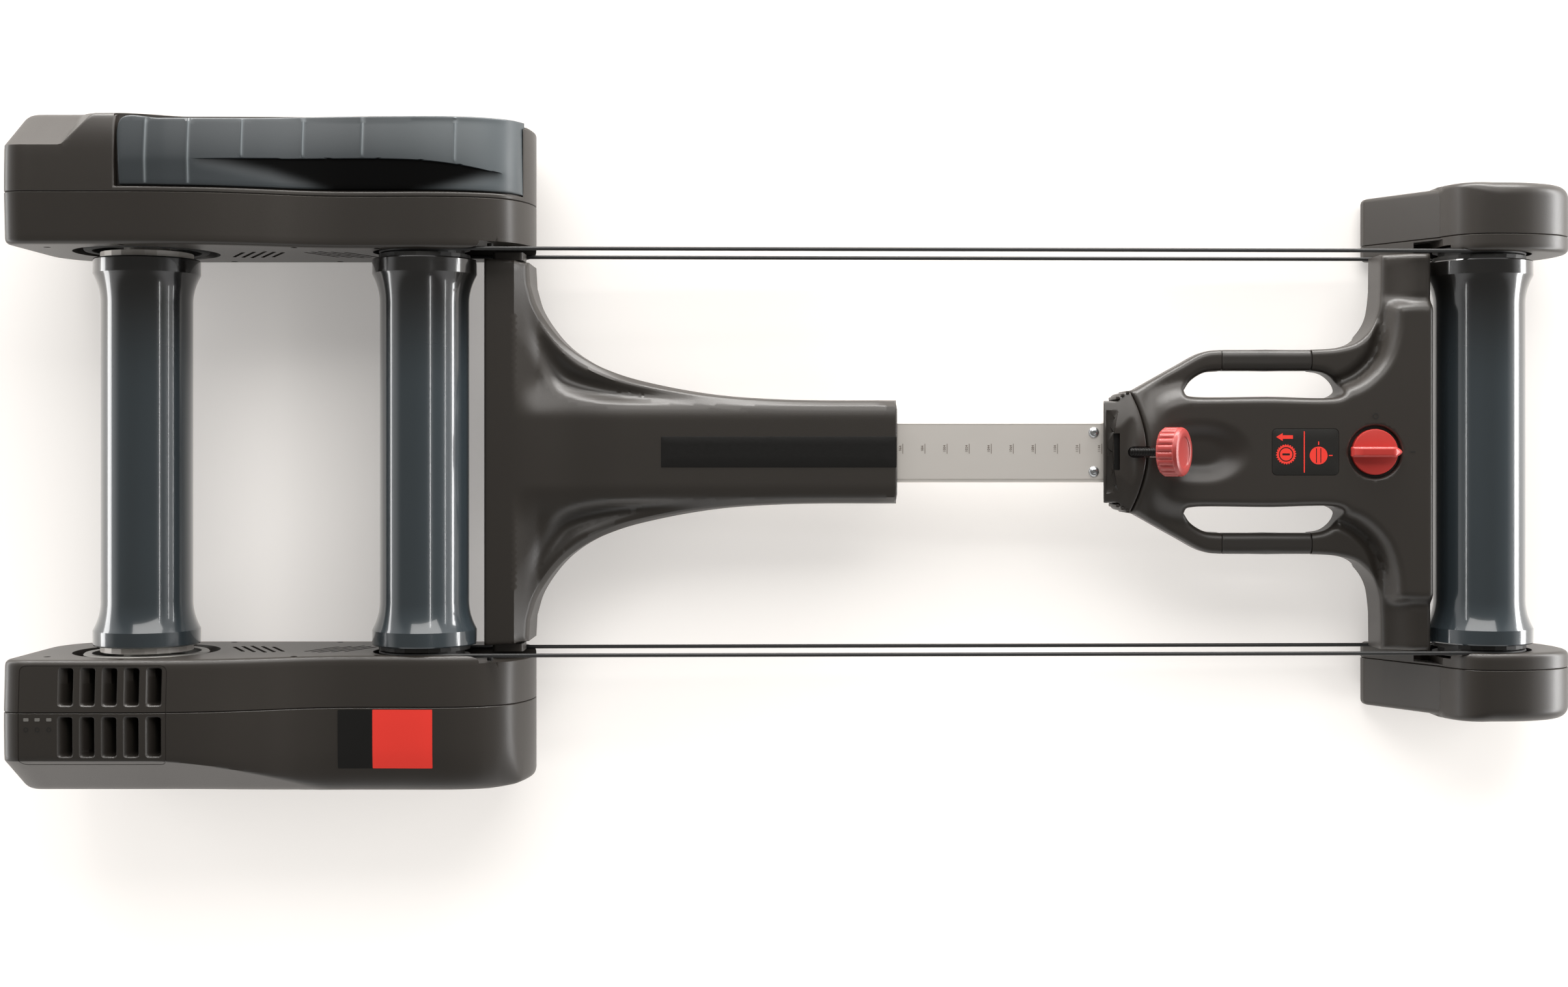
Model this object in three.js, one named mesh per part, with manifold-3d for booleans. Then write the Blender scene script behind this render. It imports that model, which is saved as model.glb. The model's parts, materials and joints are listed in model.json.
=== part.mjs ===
// Bike rollers: three drums on a frame of two side boxes and a beam, whose front section slides on the beam.
// Millimetres, +X to the front, +Y to the left, +Z up. The origin is on the floor below the middle.
import * as THREE from "three";
import { mergeVertices } from "three/addons/utils/BufferGeometryUtils.js";
import Module from "manifold-3d";

const wasm = await Module();
wasm.setup();

// Clearances and overruns
const fit_gap = 0.3;
const cut_over = 2;
const weld = 0.001;

// Layout along the rollers
const rear_drum_inset = 101;
const rear_drum_spacing = 251.5;
const front_drum_spacing = 963.5;
const front_overhang = 80;
const overall_length = rear_drum_inset + rear_drum_spacing + front_drum_spacing + front_overhang;
const rear_x = -overall_length / 2;
const front_x = overall_length / 2;
const rear_axle_x = rear_x + rear_drum_inset;
const mid_axle_x = rear_axle_x + rear_drum_spacing;
const front_axle_x = mid_axle_x + front_drum_spacing;
const axle_z = 98;
const front_axle_z = 75;

// Drums
const drum_half_length = 174;
const belt_pitch_radius = 39;
const barrel_rise = 1;
const ring_rise = 6.8;
const barrel_radius = belt_pitch_radius + barrel_rise;
const ring_radius = barrel_radius + ring_rise;
const ring_width = 14;
const flare_width = 26;
// The flare from barrel to ring: shares of its width and of its rise
const flare_share = [[0, 0], [0.4, 0.12], [0.75, 0.5], [1, 1]];
const ring_chamfer = 2;
const drum_wall = 4;
const axle_radius = 8.5;
const bearing_radius = 17.5;
const bearing_width = 10;
const bearing_setback = 6;
const cap_depth = 20;
const cap_lip_bore = 10.5;
const drum_sides = 24;
const small_sides = 12;

// Round drive belts and their pulleys
const belt_radius = 1.75;
const belt_sides = 6;
const belt_arc_steps = 8;
const ribbed_arc_steps = 12;
const pulley_rim_rise = 2;
const pulley_groove_drop = 3;
const pulley_outer_radius = belt_pitch_radius + pulley_rim_rise;
const pulley_groove_radius = belt_pitch_radius - pulley_groove_drop;
const pulley_groove_half_width = 2.6;
const belt_inset = 0.5;
const pulley_lip = 4.5;
const pulley_bore = 12;

// Side boxes
const foot_height = 8;
const nose_overhang = 97.5;
const box_rise = 84;
const wall_gap = 6;
const inner_shell_depth = 45;
const outer_shell_depth = 77;
const box_wall = 3.5;
const recess_depth = 7;
const recess_back = 3;
const rear_recess_radius = 64;
const pulley_side_gap = 5;
const belt_side_gap = 2;
const mid_recess_radius = pulley_outer_radius + pulley_side_gap;
const belt_channel_half = pulley_outer_radius + belt_side_gap;
const hub_hole_radius = 24;
const boss_wall = 6;
const axle_seat_depth = 12;
const axle_seat_end = 3;
const edge_round = 5;
const crown_drop = 3;
const crown_ease_share = 0.8;
const shoulder_depth = 37;
const shoulder_inset = 0.3;
const bulge_setback = [18, 7];
const bulge_inset = [3, 9];
const bulge_ease = 1;
const outer_face_inset = 24;
const box_length = rear_drum_inset + rear_drum_spacing + nose_overhang;
const box_height = axle_z + box_rise - foot_height;
const inner_wall_y = drum_half_length + wall_gap;
const belt_plane_y = inner_wall_y + belt_inset;
const pulley_end_y = belt_plane_y + pulley_lip;
const seam_y = inner_wall_y + inner_shell_depth;
const box_outer_y = seam_y + outer_shell_depth;
const shoulder_y = seam_y + shoulder_depth;
const bulge_y = bulge_setback.map((setback) => box_outer_y - setback);
const nose_x = rear_x + box_length;
const box_top_z = foot_height + box_height;
const recess_floor_y = inner_wall_y + recess_depth;
const box_mid_x = (rear_x + nose_x) / 2;
const box_mid_z = foot_height + box_height / 2;

// Side view of a side box, from its bottom rear corner forwards over the top: shares of length and height
const box_rear_share = [[0.13, 0], [0.075, 0.03], [0.03, 0.12], [0.004, 0.26], [0, 0.36], [0, 0.92]];
const box_top_share = [
  [0.008, 0.97], [0.03, 1], [0.12, 1], [0.3, 0.995], [0.4, 0.962], [0.493, 0.895], [0.56, 0.83],
  [0.627, 0.793], [0.72, 0.792], [0.811, 0.8], [0.87, 0.785], [0.918, 0.75], [0.96, 0.68], [0.985, 0.57],
];
const box_nose_share = [[1, 0.4], [0.988, 0.2], [0.955, 0.06], [0.91, 0]];

// Step pad on the left box
const pad_rear_offset = 103;
const pad_nose_gap = 7;
const pad_length = box_length - pad_rear_offset - pad_nose_gap;
const pad_seam_gap = 6;
const pad_inner_width = 27;
const pad_outer_setback = 9.5;
const pad_crease = 1;
const pad_outer_drop = 8;
const pad_thickness = 6;
const pad_proud = 1;
const pad_scoop_depth = 3.5;
const pad_scoop_share = [0.2, 0.93];
const pad_steps = 14;
const pad_inner_y = seam_y + pad_seam_gap;
const pad_crease_y = pad_inner_y + pad_inner_width;
const pad_outer_y = box_outer_y - pad_outer_setback;

// Shoulder facets on the outer shells
const left_facet_width = 37;
const right_facet_width = 31;
const facet_drop = 57;
const left_facet_reach = [53, 92];
const right_facet_reach = [148, 268];

// Vent slots on the right box
const vent_count = 5;
const vent_first = 51.6;
const vent_pitch = 19;
const vent_width = 12;
const vent_depth = 14;
const vent_edge_gap = 7;
const vent_seam_gap = [6, 4];
const vent_outer_length = 34;
const vent_inner_rows = [inner_wall_y + vent_edge_gap, seam_y - vent_seam_gap[0]];
const vent_outer_rows = [seam_y + vent_seam_gap[1], seam_y + vent_seam_gap[1] + vent_outer_length];

// Rubber feet
const foot_inset = 63;
const foot_nose_inset = 57;
const foot_wall_gap = 16;
const foot_width = 54;
const foot_length = box_length - foot_inset - foot_nose_inset;
const foot_inner_y = inner_wall_y + foot_wall_gap;
const foot_outer_y = foot_inner_y + foot_width;
const pod_foot_height = 6;
const pod_foot_length = 80;
const pod_foot_width = 34;

// Resistance unit in the right box
const hub_flange_radius = 40.5;
const hub_flange_width = 5;
const hub_sleeve_radius = 20;
const hub_bore = 9.2;
const left_hub_overrun = 6;
const ribbed_belt_gap = 13.5;
const ribbed_belt_width = 11;
const left_hub_reach = inner_wall_y + left_hub_overrun;
const ribbed_belt_y = [inner_wall_y + ribbed_belt_gap, inner_wall_y + ribbed_belt_gap + ribbed_belt_width];
const ribbed_belt_thickness = 1.6;
const drive_pulley_radius = 36;
const drive_pulley_flange = 2.5;
const drive_pulley_lip = 1;
const small_pulley_radius = 12;
const flywheel_offset_x = 147;
const flywheel_offset_z = -14;
const flywheel_radius = 52;
const flywheel_rim = 14;
const flywheel_hub = 11;
const flywheel_seam_gap = 11;
const flywheel_width = 26;
const flywheel_y = [seam_y + flywheel_seam_gap, seam_y + flywheel_seam_gap + flywheel_width];
const flywheel_web = 8;
const shaft_radius = 4;
const shaft_bearing_radius = 11;
const shaft_bearing_width = 7;
const shaft_seat_setback = [4, 12];
const axle_boss_setback = 32;
const axle_end_setback = 17;
const shaft_inner_seat_y = inner_wall_y + shaft_seat_setback[0];
const shaft_outer_seat_y = box_outer_y - shaft_seat_setback[1];
const axle_boss_y = inner_wall_y + axle_boss_setback;
const axle_half_length = box_outer_y - axle_end_setback;
const brake_gap = 2;
const brake_reach = 12;
const brake_cheek = 4;
const brake_back = 6;
const brake_half_height = 16;
const board_width = 50;
const board_height = 66;
const board_thickness = 1.6;
const board_seam_gap = 5;
const board_inner_y = seam_y + board_seam_gap;
const board_z = 72;
const board_standoff = 8;
const standoff_radius = 3;

// Rear beam: crossbar, funnel and neck
const crossbar_gap = 7.7;
const crossbar_side_gap = 5;
const crossbar_half = inner_wall_y - crossbar_side_gap;
const beam_length = 373.3;
const beam_bottom_z = 34;
const beam_shoulder_z = 92;
const beam_top_z = 105;
const beam_wall = 5;
const beam_x = mid_axle_x + ring_radius + crossbar_gap;
const beam_end_x = beam_x + beam_length;
// Plan of the funnel: shares of the beam's length and of the crossbar's half length
const funnel_share = [
  [0, 1], [0.103, 0.985], [0.106, 0.873], [0.122, 0.761], [0.151, 0.659], [0.191, 0.561], [0.248, 0.475],
  [0.329, 0.401], [0.443, 0.34], [0.573, 0.295], [0.704, 0.275], [0.817, 0.269], [1, 0.269],
];
const spine_share = [
  [0, 1], [0.072, 0.985], [0.075, 0.66], [0.09, 0.44], [0.132, 0.334], [0.293, 0.249], [1, 0.233],
];
const rear_tenon = [6, 34, 68, 94];

// Aluminium beam tube
const tube_half_width = 27.65;
const tube_top_z = 100;
const tube_height = 45;
const tube_wall = 2.5;
const tube_socket = 195;
const rib_thickness = 8;
const rib_places_share = [0.03, 0.5, 0.96];
const stop_screw_setback = 4.4;
const stop_screw_y = 17.7;
const stop_head_radius = 4.5;
const stop_head_height = 2.8;
const stop_shank_radius = 2.5;
const stop_shank_length = 8;

// Front section, with the label and the dial at shares of its reach from the collar to the axle
const slide_travel = 180;
const slide_end_gap = 1;
const front_reach = 351;
const collar_length = 29.7;
const collar_half_width = 46;
const collar_root_half_width = 55;
const collar_bottom_z = 44;
const collar_top_z = 112;
const collar_bevel = 2;
// Where the collar widens towards the housing
const collar_step_share = [0.5, 0.565];
const trough_inset = 5;
const trough_width = 12;
const trough_half_length = 40;
const trough_depth = 6.5;
const throat_relief_half = 24;
const throat_relief_height = 3.4;
const housing_top_z = 112;
const housing_bottom_z = 58;
const arm_bottom_z = 74;
const arm_top_z = 98;
const body_half_width = 49.8;
const body_bevel = 6;
const crossbar_depth = 56;
const front_crossbar_bottom_z = 34;
const front_ring_gap = 8.2;
const housing_wall = 5;
const leg_width = 12;
const leg_bottom_z = 8;
const leg_top_z = 50;
const tenon_belt_gap = 5;
const front_tenon = [5, 31, 10, front_axle_z - belt_pitch_radius - tenon_belt_gap];
const collar_x = front_axle_x - front_reach;
const housing_x = collar_x + collar_length + fit_gap;
const housing_front_x = front_axle_x - ring_radius - front_ring_gap;
const housing_length = housing_front_x - housing_x;
const channel_end_x = housing_front_x - housing_wall;
const tube_end_x = channel_end_x - slide_travel - slide_end_gap;
// Plan of the housing with its two arms: shares of its length and of the crossbar's half length
const housing_share = [
  [0, 0.318], [0.15, 0.446], [0.241, 0.518], [0.299, 0.529], [0.609, 0.531], [0.699, 0.552], [0.77, 0.606],
  [0.793, 0.687], [0.811, 0.823], [0.812, 1], [1, 1],
];
const hand_hole_share = [
  [0.17, 0.318], [0.197, 0.369], [0.241, 0.41], [0.288, 0.42], [0.609, 0.42], [0.66, 0.403], [0.707, 0.342],
  [0.709, 0.302], [0.689, 0.285], [0.197, 0.285], [0.175, 0.294],
];

// Grip sleeves
const grip_share = [0.3, 0.609];
const grip_bar_y = [73.7, 92.7];
const grip_wall = 3.6;
const grip_bottom_z = 77;
const grip_top_z = 99;
const grip_corner = 4;

// Label plate
const label_share = 0.43305;
const label_dial_gap = 7.7;
const label_half_width = 20.7;
const label_thickness = 1.1;
const label_proud = 0.4;
const label_corner = 4;

// Clamp knob and screw
const knob_setback = 59.6;
const knob_z = 132;
const knob_tilt = 31;
const knob_radius = 22;
const knob_length = 21;
const knob_ribs = 20;
const knob_rib_depth = 1.3;
const knob_pocket = 1.5;
const knob_bevel = 1.5;
const screw_radius = 4;
const screw_tip_z = 103.7;
const dish_setback = 95;
const dish_radii = [44, 29, 6];
const dish_segments = 20;

// Lock dial
const dial_share = 0.69715;
const dial_radius = 22.8;
const dial_recess_radius = 25.4;
const dial_recess_depth = 6;
const dial_thickness = 6.5;
const dial_bar_width = 8;
const dial_bar_height = 12;
const dial_bar_inset = 1;
const spindle_radius = 4;
const spindle_flange_radius = 9;
const spindle_flange = 1.8;
const label_top_z = housing_top_z + label_proud;
const label_bottom_z = label_top_z - label_thickness;
const dial_x = collar_x + dial_share * front_reach;
const dial_floor_z = housing_top_z - dial_recess_depth;
const spindle_seat_z = tube_top_z + fit_gap + spindle_flange + 2 * fit_gap;

// Front pods
const pod_length = 169;
const pod_height = 118;
const pod_inner_depth = 15;
const pod_outer_depth = 47.5;
const pod_seam_y = inner_wall_y + pod_inner_depth;
const pod_outer_y = pod_seam_y + pod_outer_depth;
const pod_wall = 3.5;
const pod_bulge_setback = [17.5, 6.5];
const pod_bulge_y = pod_bulge_setback.map((setback) => pod_outer_y - setback);
const pod_bulge_inset = 3;
const pod_face_inset = 12;
const pod_x = front_x - pod_length;
const pod_channel_half = 44;
const front_axle_seat = 5.5;
// Side view of a pod from its tail over the cap to the nose: shares of length and height
const pod_share = [
  [0, 0], [0, 0.085], [0.095, 0.288], [0.195, 0.475], [0.266, 0.576], [0.296, 0.754], [0.349, 0.898],
  [0.432, 0.983], [0.55, 1], [0.716, 0.975], [0.87, 0.881], [0.964, 0.746], [1, 0.576], [0.994, 0.373],
  [0.953, 0.186], [0.87, 0.05], [0.775, 0],
];

const finishes = {
  shell: { color: 0x3a3732, roughness: 0.55, metalness: 0 },
  dark_plastic: { color: 0x23211f, roughness: 0.6, metalness: 0 },
  drum: { color: 0x38444b, roughness: 0.18, metalness: 0 },
  pad: { color: 0x596467, roughness: 0.45, metalness: 0 },
  aluminium: { color: 0xc8c4c0, roughness: 0.35, metalness: 0.9 },
  steel: { color: 0xb9bbbd, roughness: 0.3, metalness: 0.95 },
  iron: { color: 0x4b4d50, roughness: 0.5, metalness: 0.8 },
  rubber: { color: 0x191919, roughness: 0.85, metalness: 0 },
  belt: { color: 0x2a2a2a, roughness: 0.6, metalness: 0 },
  knob_red: { color: 0xdc4b46, roughness: 0.4, metalness: 0 },
  dial_red: { color: 0xc83c37, roughness: 0.4, metalness: 0 },
  grip: { color: 0x2c2a28, roughness: 0.75, metalness: 0 },
  label: { color: 0x151515, roughness: 0.5, metalness: 0 },
  board_green: { color: 0x1f5a36, roughness: 0.6, metalness: 0 },
};

const materials = Object.fromEntries(
  Object.entries(finishes).map(([name, look]) => [name, new THREE.MeshStandardMaterial({ name, ...look })]),
);

const rollers = new THREE.Group();
rollers.name = "bike_rollers";

// Solids

function signedVolume(positions, triangles) {
  const a = new THREE.Vector3();
  const b = new THREE.Vector3();
  const c = new THREE.Vector3();
  let total = 0;
  for (let i = 0; i < triangles.length; i += 3) {
    a.fromArray(positions, 3 * triangles[i]);
    b.fromArray(positions, 3 * triangles[i + 1]);
    c.fromArray(positions, 3 * triangles[i + 2]);
    total += a.dot(b.cross(c)) / 6;
  }
  return total;
}

// Turns a closed geometry into a solid whose faces point out.
function solidOf(geometry) {
  const bare = geometry.clone();
  bare.deleteAttribute("normal");
  bare.deleteAttribute("uv");
  const merged = mergeVertices(bare, weld);
  const vertProperties = new Float32Array(merged.attributes.position.array);
  const triVerts = new Uint32Array(merged.index.array);
  if (signedVolume(vertProperties, triVerts) < 0) {
    triVerts.reverse();
  }
  return new wasm.Manifold(new wasm.Mesh({ numProp: 3, vertProperties, triVerts }));
}

function join(solids) {
  return solids.reduce((whole, piece) => whole.add(piece));
}

function cut(solid, cutters) {
  return cutters.reduce((left, cutter) => left.subtract(cutter), solid);
}

function meshOf(name, solid, material, parent = rollers) {
  const { vertProperties, triVerts } = solid.getMesh();
  const geometry = new THREE.BufferGeometry();
  geometry.setAttribute("position", new THREE.BufferAttribute(new Float32Array(vertProperties), 3));
  geometry.setIndex(new THREE.BufferAttribute(new Uint32Array(triVerts), 1));
  geometry.computeVertexNormals();
  const mesh = new THREE.Mesh(geometry, materials[material]);
  mesh.name = name;
  parent.add(mesh);
  return mesh;
}

function box(x0, x1, y0, y1, z0, z1) {
  const geometry = new THREE.BoxGeometry(x1 - x0, Math.abs(y1 - y0), z1 - z0);
  geometry.translate((x0 + x1) / 2, (y0 + y1) / 2, (z0 + z1) / 2);
  return solidOf(geometry);
}

function rodY(x, z, radius, y0, y1, sides = small_sides) {
  const geometry = new THREE.CylinderGeometry(radius, radius, Math.abs(y1 - y0), sides);
  geometry.translate(x, (y0 + y1) / 2, z);
  return solidOf(geometry);
}

function rodX(y, z, radius, x0, x1, sides = small_sides) {
  const geometry = new THREE.CylinderGeometry(radius, radius, x1 - x0, sides);
  geometry.rotateZ(Math.PI / 2);
  geometry.translate((x0 + x1) / 2, y, z);
  return solidOf(geometry);
}

function rodZ(x, y, radius, z0, z1, sides = small_sides) {
  const geometry = new THREE.CylinderGeometry(radius, radius, z1 - z0, sides);
  geometry.rotateX(Math.PI / 2);
  geometry.translate(x, y, (z0 + z1) / 2);
  return solidOf(geometry);
}

function ringY(x, z, inner, outer, y0, y1, sides = small_sides) {
  return rodY(x, z, outer, y0, y1, sides).subtract(
    rodY(x, z, inner, Math.min(y0, y1) - cut_over, Math.max(y0, y1) + cut_over, sides),
  );
}

// A body of revolution about the Y axis; the profile is a closed list of [radius, y].
function turned(profile, side = 1, sides = drum_sides) {
  const points = [...profile, profile[0]].map(([radius, y]) => new THREE.Vector2(radius, side * y));
  return solidOf(new THREE.LatheGeometry(points, sides));
}

// An upright plate: its outline in plan, extruded from z0 to z1, with a chamfer where asked.
function plate(outline, z0, z1, bevel = 0) {
  const shape = new THREE.Shape(outline.map(([x, y]) => new THREE.Vector2(x, y)));
  const geometry = new THREE.ExtrudeGeometry(shape, {
    depth: z1 - z0 - 2 * bevel,
    bevelEnabled: bevel > 0,
    bevelThickness: bevel,
    bevelSize: bevel,
    bevelOffset: -bevel,
    bevelSegments: 1,
    curveSegments: 4,
  });
  geometry.translate(0, 0, z0 + bevel);
  return solidOf(geometry);
}

// A solid through rings of equally many points, closed by flat ends, or joined end to end as a loop.
function loft(rings, loop = false) {
  const count = rings[0].length;
  const triangles = [];
  const spans = loop ? rings.length : rings.length - 1;
  for (let r = 0; r < spans; r += 1) {
    const next = (r + 1) % rings.length;
    for (let i = 0; i < count; i += 1) {
      const j = (i + 1) % count;
      const a = r * count + i;
      const b = r * count + j;
      const c = next * count + i;
      const d = next * count + j;
      triangles.push(a, b, d, a, d, c);
    }
  }
  if (!loop) {
    const flat = flatten(rings[0]);
    const faces = THREE.ShapeUtils.triangulateShape(flat, []);
    const last = (rings.length - 1) * count;
    const clockwise = THREE.ShapeUtils.isClockWise(flat);
    for (const [a, b, c] of faces) {
      const start = clockwise ? [a, b, c] : [a, c, b];
      const end = clockwise ? [a, c, b] : [a, b, c];
      triangles.push(...start);
      triangles.push(...end.map((i) => last + i));
    }
  }
  const geometry = new THREE.BufferGeometry();
  geometry.setAttribute("position", new THREE.Float32BufferAttribute(rings.flat(2), 3));
  geometry.setIndex(triangles);
  return solidOf(geometry);
}

// The ring's points in its own plane, which stands square to X or to Y.
function flatten(ring) {
  const alongY = ring.every((point) => Math.abs(point[1] - ring[0][1]) < weld);
  return ring.map(([x, y, z]) => (alongY ? new THREE.Vector2(z, x) : new THREE.Vector2(y, z)));
}

function mirrored(half) {
  return [...half, ...half.map(([x, y]) => [x, -y]).reverse()];
}

function planPoints(shares, x0, length, half) {
  return shares.map(([along, across]) => [x0 + along * length, across * half]);
}

// Side boxes

const box_share = [...box_rear_share, ...box_top_share, ...box_nose_share];

// A section of a side box at y, drawn in by inset, with its top lowered by drop.
function boxRing(y, inset, drop) {
  const along = 1 - (2 * inset) / box_length;
  const across = 1 - (2 * inset) / box_height;
  return box_share.map(([u, v]) => {
    const x = rear_x + u * box_length;
    const z = foot_height + v * box_height;
    const rise = Math.max(0, (z - box_mid_z) / (box_height / 2));
    return [box_mid_x + (x - box_mid_x) * along, y, box_mid_z + (z - box_mid_z) * across - drop * rise];
  });
}

const inner_rings = [
  [inner_wall_y, edge_round, crown_drop],
  [inner_wall_y + edge_round / 3, edge_round / 3, crown_drop],
  [inner_wall_y + edge_round, 0, crown_drop * crown_ease_share],
  [seam_y, 0, 0],
];
const outer_rings = [
  [seam_y + fit_gap, 0, 0],
  [shoulder_y, shoulder_inset, 0],
  [bulge_y[0], bulge_inset[0], 0],
  [bulge_y[1], bulge_inset[1], 0],
  [box_outer_y, outer_face_inset, 0],
];

function boxLoft(rings, side) {
  return loft(rings.map(([y, inset, drop]) => boxRing(side * y, inset, drop)));
}

// The wedge that faces the outer top shoulder, moved inwards by wall for the inside of the shell.
function facetWedge(side, facet_width, reach, wall) {
  const facet_y = box_outer_y - facet_width;
  const top = box_top_z + cut_over;
  const out = box_outer_y + cut_over;
  const low = box_top_z - facet_drop;
  const wedge = (x, y_in, z_low) => [
    [x, side * (y_in - wall), top],
    [x, side * out, top],
    [x, side * out, z_low - wall],
  ];
  return loft([
    wedge(rear_x - cut_over, facet_y, low),
    wedge(rear_x + reach[0] + wall, facet_y, low),
    wedge(rear_x + reach[1] + wall, out - fit_gap, top - fit_gap),
  ]);
}

// A round recess in the inner wall, run forwards to the nose where the belt leaves it.
function wallRecess(side, x, radius, grow, y0, y1, open_half = 0) {
  const round = rodY(x, axle_z, radius + grow, side * y0, side * y1, drum_sides);
  if (open_half === 0) {
    return round;
  }
  const low = axle_z - open_half - grow;
  const high = axle_z + open_half + grow;
  return round.add(box(x, nose_x + cut_over, side * y0, side * y1, low, high));
}

function ventSlots(side, rows) {
  const slots = [];
  for (let i = 0; i < vent_count; i += 1) {
    const x = rear_x + vent_first + i * vent_pitch;
    const low = box_top_z - vent_depth;
    slots.push(box(x, x + vent_width, side * rows[0], side * rows[1], low, box_top_z + cut_over));
  }
  return slots;
}

const flywheel_x = rear_axle_x + flywheel_offset_x;
const flywheel_z = axle_z + flywheel_offset_z;

function innerShell(side, holds_flywheel) {
  const outside = boxLoft(inner_rings, side);
  const hollow = boxLoft(
    [
      [inner_wall_y + box_wall, edge_round + box_wall, crown_drop],
      [inner_wall_y + edge_round + box_wall, box_wall, crown_drop],
      [seam_y + cut_over, box_wall, 0],
    ],
    side,
  );
  const back_y = recess_floor_y + recess_back;
  const skin_y = inner_wall_y + box_wall / 3;
  const open_y = inner_wall_y - cut_over;
  const backs = [
    wallRecess(side, rear_axle_x, rear_recess_radius, recess_back, skin_y, back_y),
    wallRecess(side, mid_axle_x, mid_recess_radius, recess_back, skin_y, back_y, belt_channel_half),
  ].map((back) => back.intersect(outside));
  const seat_y = back_y + axle_seat_depth;
  const boss_end = side * (seat_y + axle_seat_end);
  const seats = [rodY(mid_axle_x, axle_z, axle_radius + boss_wall, side * skin_y, boss_end)];
  const cutters = [
    wallRecess(side, rear_axle_x, rear_recess_radius, 0, open_y, recess_floor_y),
    wallRecess(side, mid_axle_x, mid_recess_radius, 0, open_y, recess_floor_y, belt_channel_half),
    rodY(rear_axle_x, axle_z, hub_hole_radius, side * inner_wall_y, side * (back_y + cut_over)),
    rodY(mid_axle_x, axle_z, axle_radius + fit_gap, side * inner_wall_y, side * seat_y),
  ];
  if (holds_flywheel) {
    const seat_end = side * (shaft_inner_seat_y + shaft_bearing_width);
    seats.push(rodY(flywheel_x, flywheel_z, shaft_bearing_radius + boss_wall, side * skin_y, seat_end));
    cutters.push(
      rodY(
        flywheel_x,
        flywheel_z,
        shaft_bearing_radius + fit_gap,
        side * shaft_inner_seat_y,
        seat_end + side * cut_over,
      ),
      ...ventSlots(side, vent_inner_rows),
    );
  }
  return cut(join([outside.subtract(hollow), ...backs, ...seats]), cutters);
}

function outerShell(side, facet_width, facet_reach, holds_flywheel) {
  const outside = boxLoft(outer_rings, side).subtract(facetWedge(side, facet_width, facet_reach, 0));
  const inside = boxLoft(
    [
      [seam_y - cut_over, box_wall, 0],
      [shoulder_y, box_wall + shoulder_inset, 0],
      [bulge_y[0] - bulge_ease, box_wall + bulge_inset[0], 0],
      [bulge_y[1] - box_wall, box_wall + bulge_inset[1], 0],
      [box_outer_y - box_wall, outer_face_inset + box_wall, 0],
    ],
    side,
  ).subtract(facetWedge(side, facet_width, facet_reach, box_wall));
  const hollow = holds_flywheel ? inside : inside.subtract(padSolid(side, fit_gap + box_wall));
  const face_y = side * (box_outer_y - box_wall / 2);
  const seats = [rodY(rear_axle_x, axle_z, axle_radius + boss_wall, side * axle_boss_y, face_y)];
  const cutters = [
    rodY(
      rear_axle_x,
      axle_z,
      axle_radius + fit_gap,
      side * (axle_boss_y - cut_over),
      side * (axle_half_length + fit_gap),
    ),
  ];
  if (holds_flywheel) {
    const seat_start = shaft_outer_seat_y - shaft_bearing_width;
    const bearing_seat = shaft_bearing_radius + boss_wall;
    seats.push(rodY(flywheel_x, flywheel_z, bearing_seat, side * seat_start, face_y));
    seats.push(brakeBoss(side, face_y), ...boardStandoffs(side));
    cutters.push(
      rodY(
        flywheel_x,
        flywheel_z,
        shaft_bearing_radius + fit_gap,
        side * (seat_start - cut_over),
        side * (shaft_outer_seat_y + fit_gap),
      ),
      ...ventSlots(side, vent_outer_rows),
    );
  } else {
    cutters.push(padSolid(side, fit_gap));
  }
  return cut(join([outside.subtract(hollow), ...seats]), cutters);
}

// Height of the box's top at x
function topHeight(x) {
  const u = (x - rear_x) / box_length;
  const found = box_top_share.findIndex(([share], i) => i > 0 && share >= u);
  const after = found < 0 ? box_top_share.length - 1 : found;
  const [u0, v0] = box_top_share[after - 1];
  const [u1, v1] = box_top_share[after];
  return foot_height + box_height * (v0 + ((v1 - v0) * (u - u0)) / (u1 - u0));
}

// The step pad, or with grow the pocket that it lies in.
function padSolid(side, grow) {
  const start = rear_x + pad_rear_offset;
  const span = pad_length + 2 * grow;
  const ring = (y, drop, scoop) => {
    const tops = [];
    const bottoms = [];
    for (let i = 0; i <= pad_steps; i += 1) {
      const t = i / pad_steps;
      const x = start - grow + t * span;
      const [from, to] = pad_scoop_share;
      const inside = THREE.MathUtils.clamp((t - from) / (to - from), 0, 1);
      const z = topHeight(x) + pad_proud - drop;
      tops.push([x, side * y, z - scoop * Math.sin(Math.PI * inside) + (grow > 0 ? pad_thickness : 0)]);
      bottoms.unshift([x, side * y, z - pad_thickness - grow]);
    }
    return [...tops, ...bottoms];
  };
  const scoop = grow > 0 ? 0 : pad_scoop_depth;
  return loft([
    ring(pad_inner_y - grow, 0, 0),
    ring(pad_inner_y + pad_crease, 0, scoop),
    ring(pad_crease_y - pad_crease, 0, scoop),
    ring(pad_crease_y, 0, 0),
    ring(bulge_y[0], bulge_inset[0], 0),
    ring(pad_outer_y + grow, pad_outer_drop, 0),
  ]);
}

function footStrip(side) {
  const x = rear_x + foot_inset;
  const outline = [
    [x, foot_inner_y],
    [x + foot_length, foot_inner_y],
    [x + foot_length, foot_outer_y],
    [x, foot_outer_y],
  ].map(([px, py]) => [px, side * py]);
  return plate(outline, 0, foot_height);
}

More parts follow.
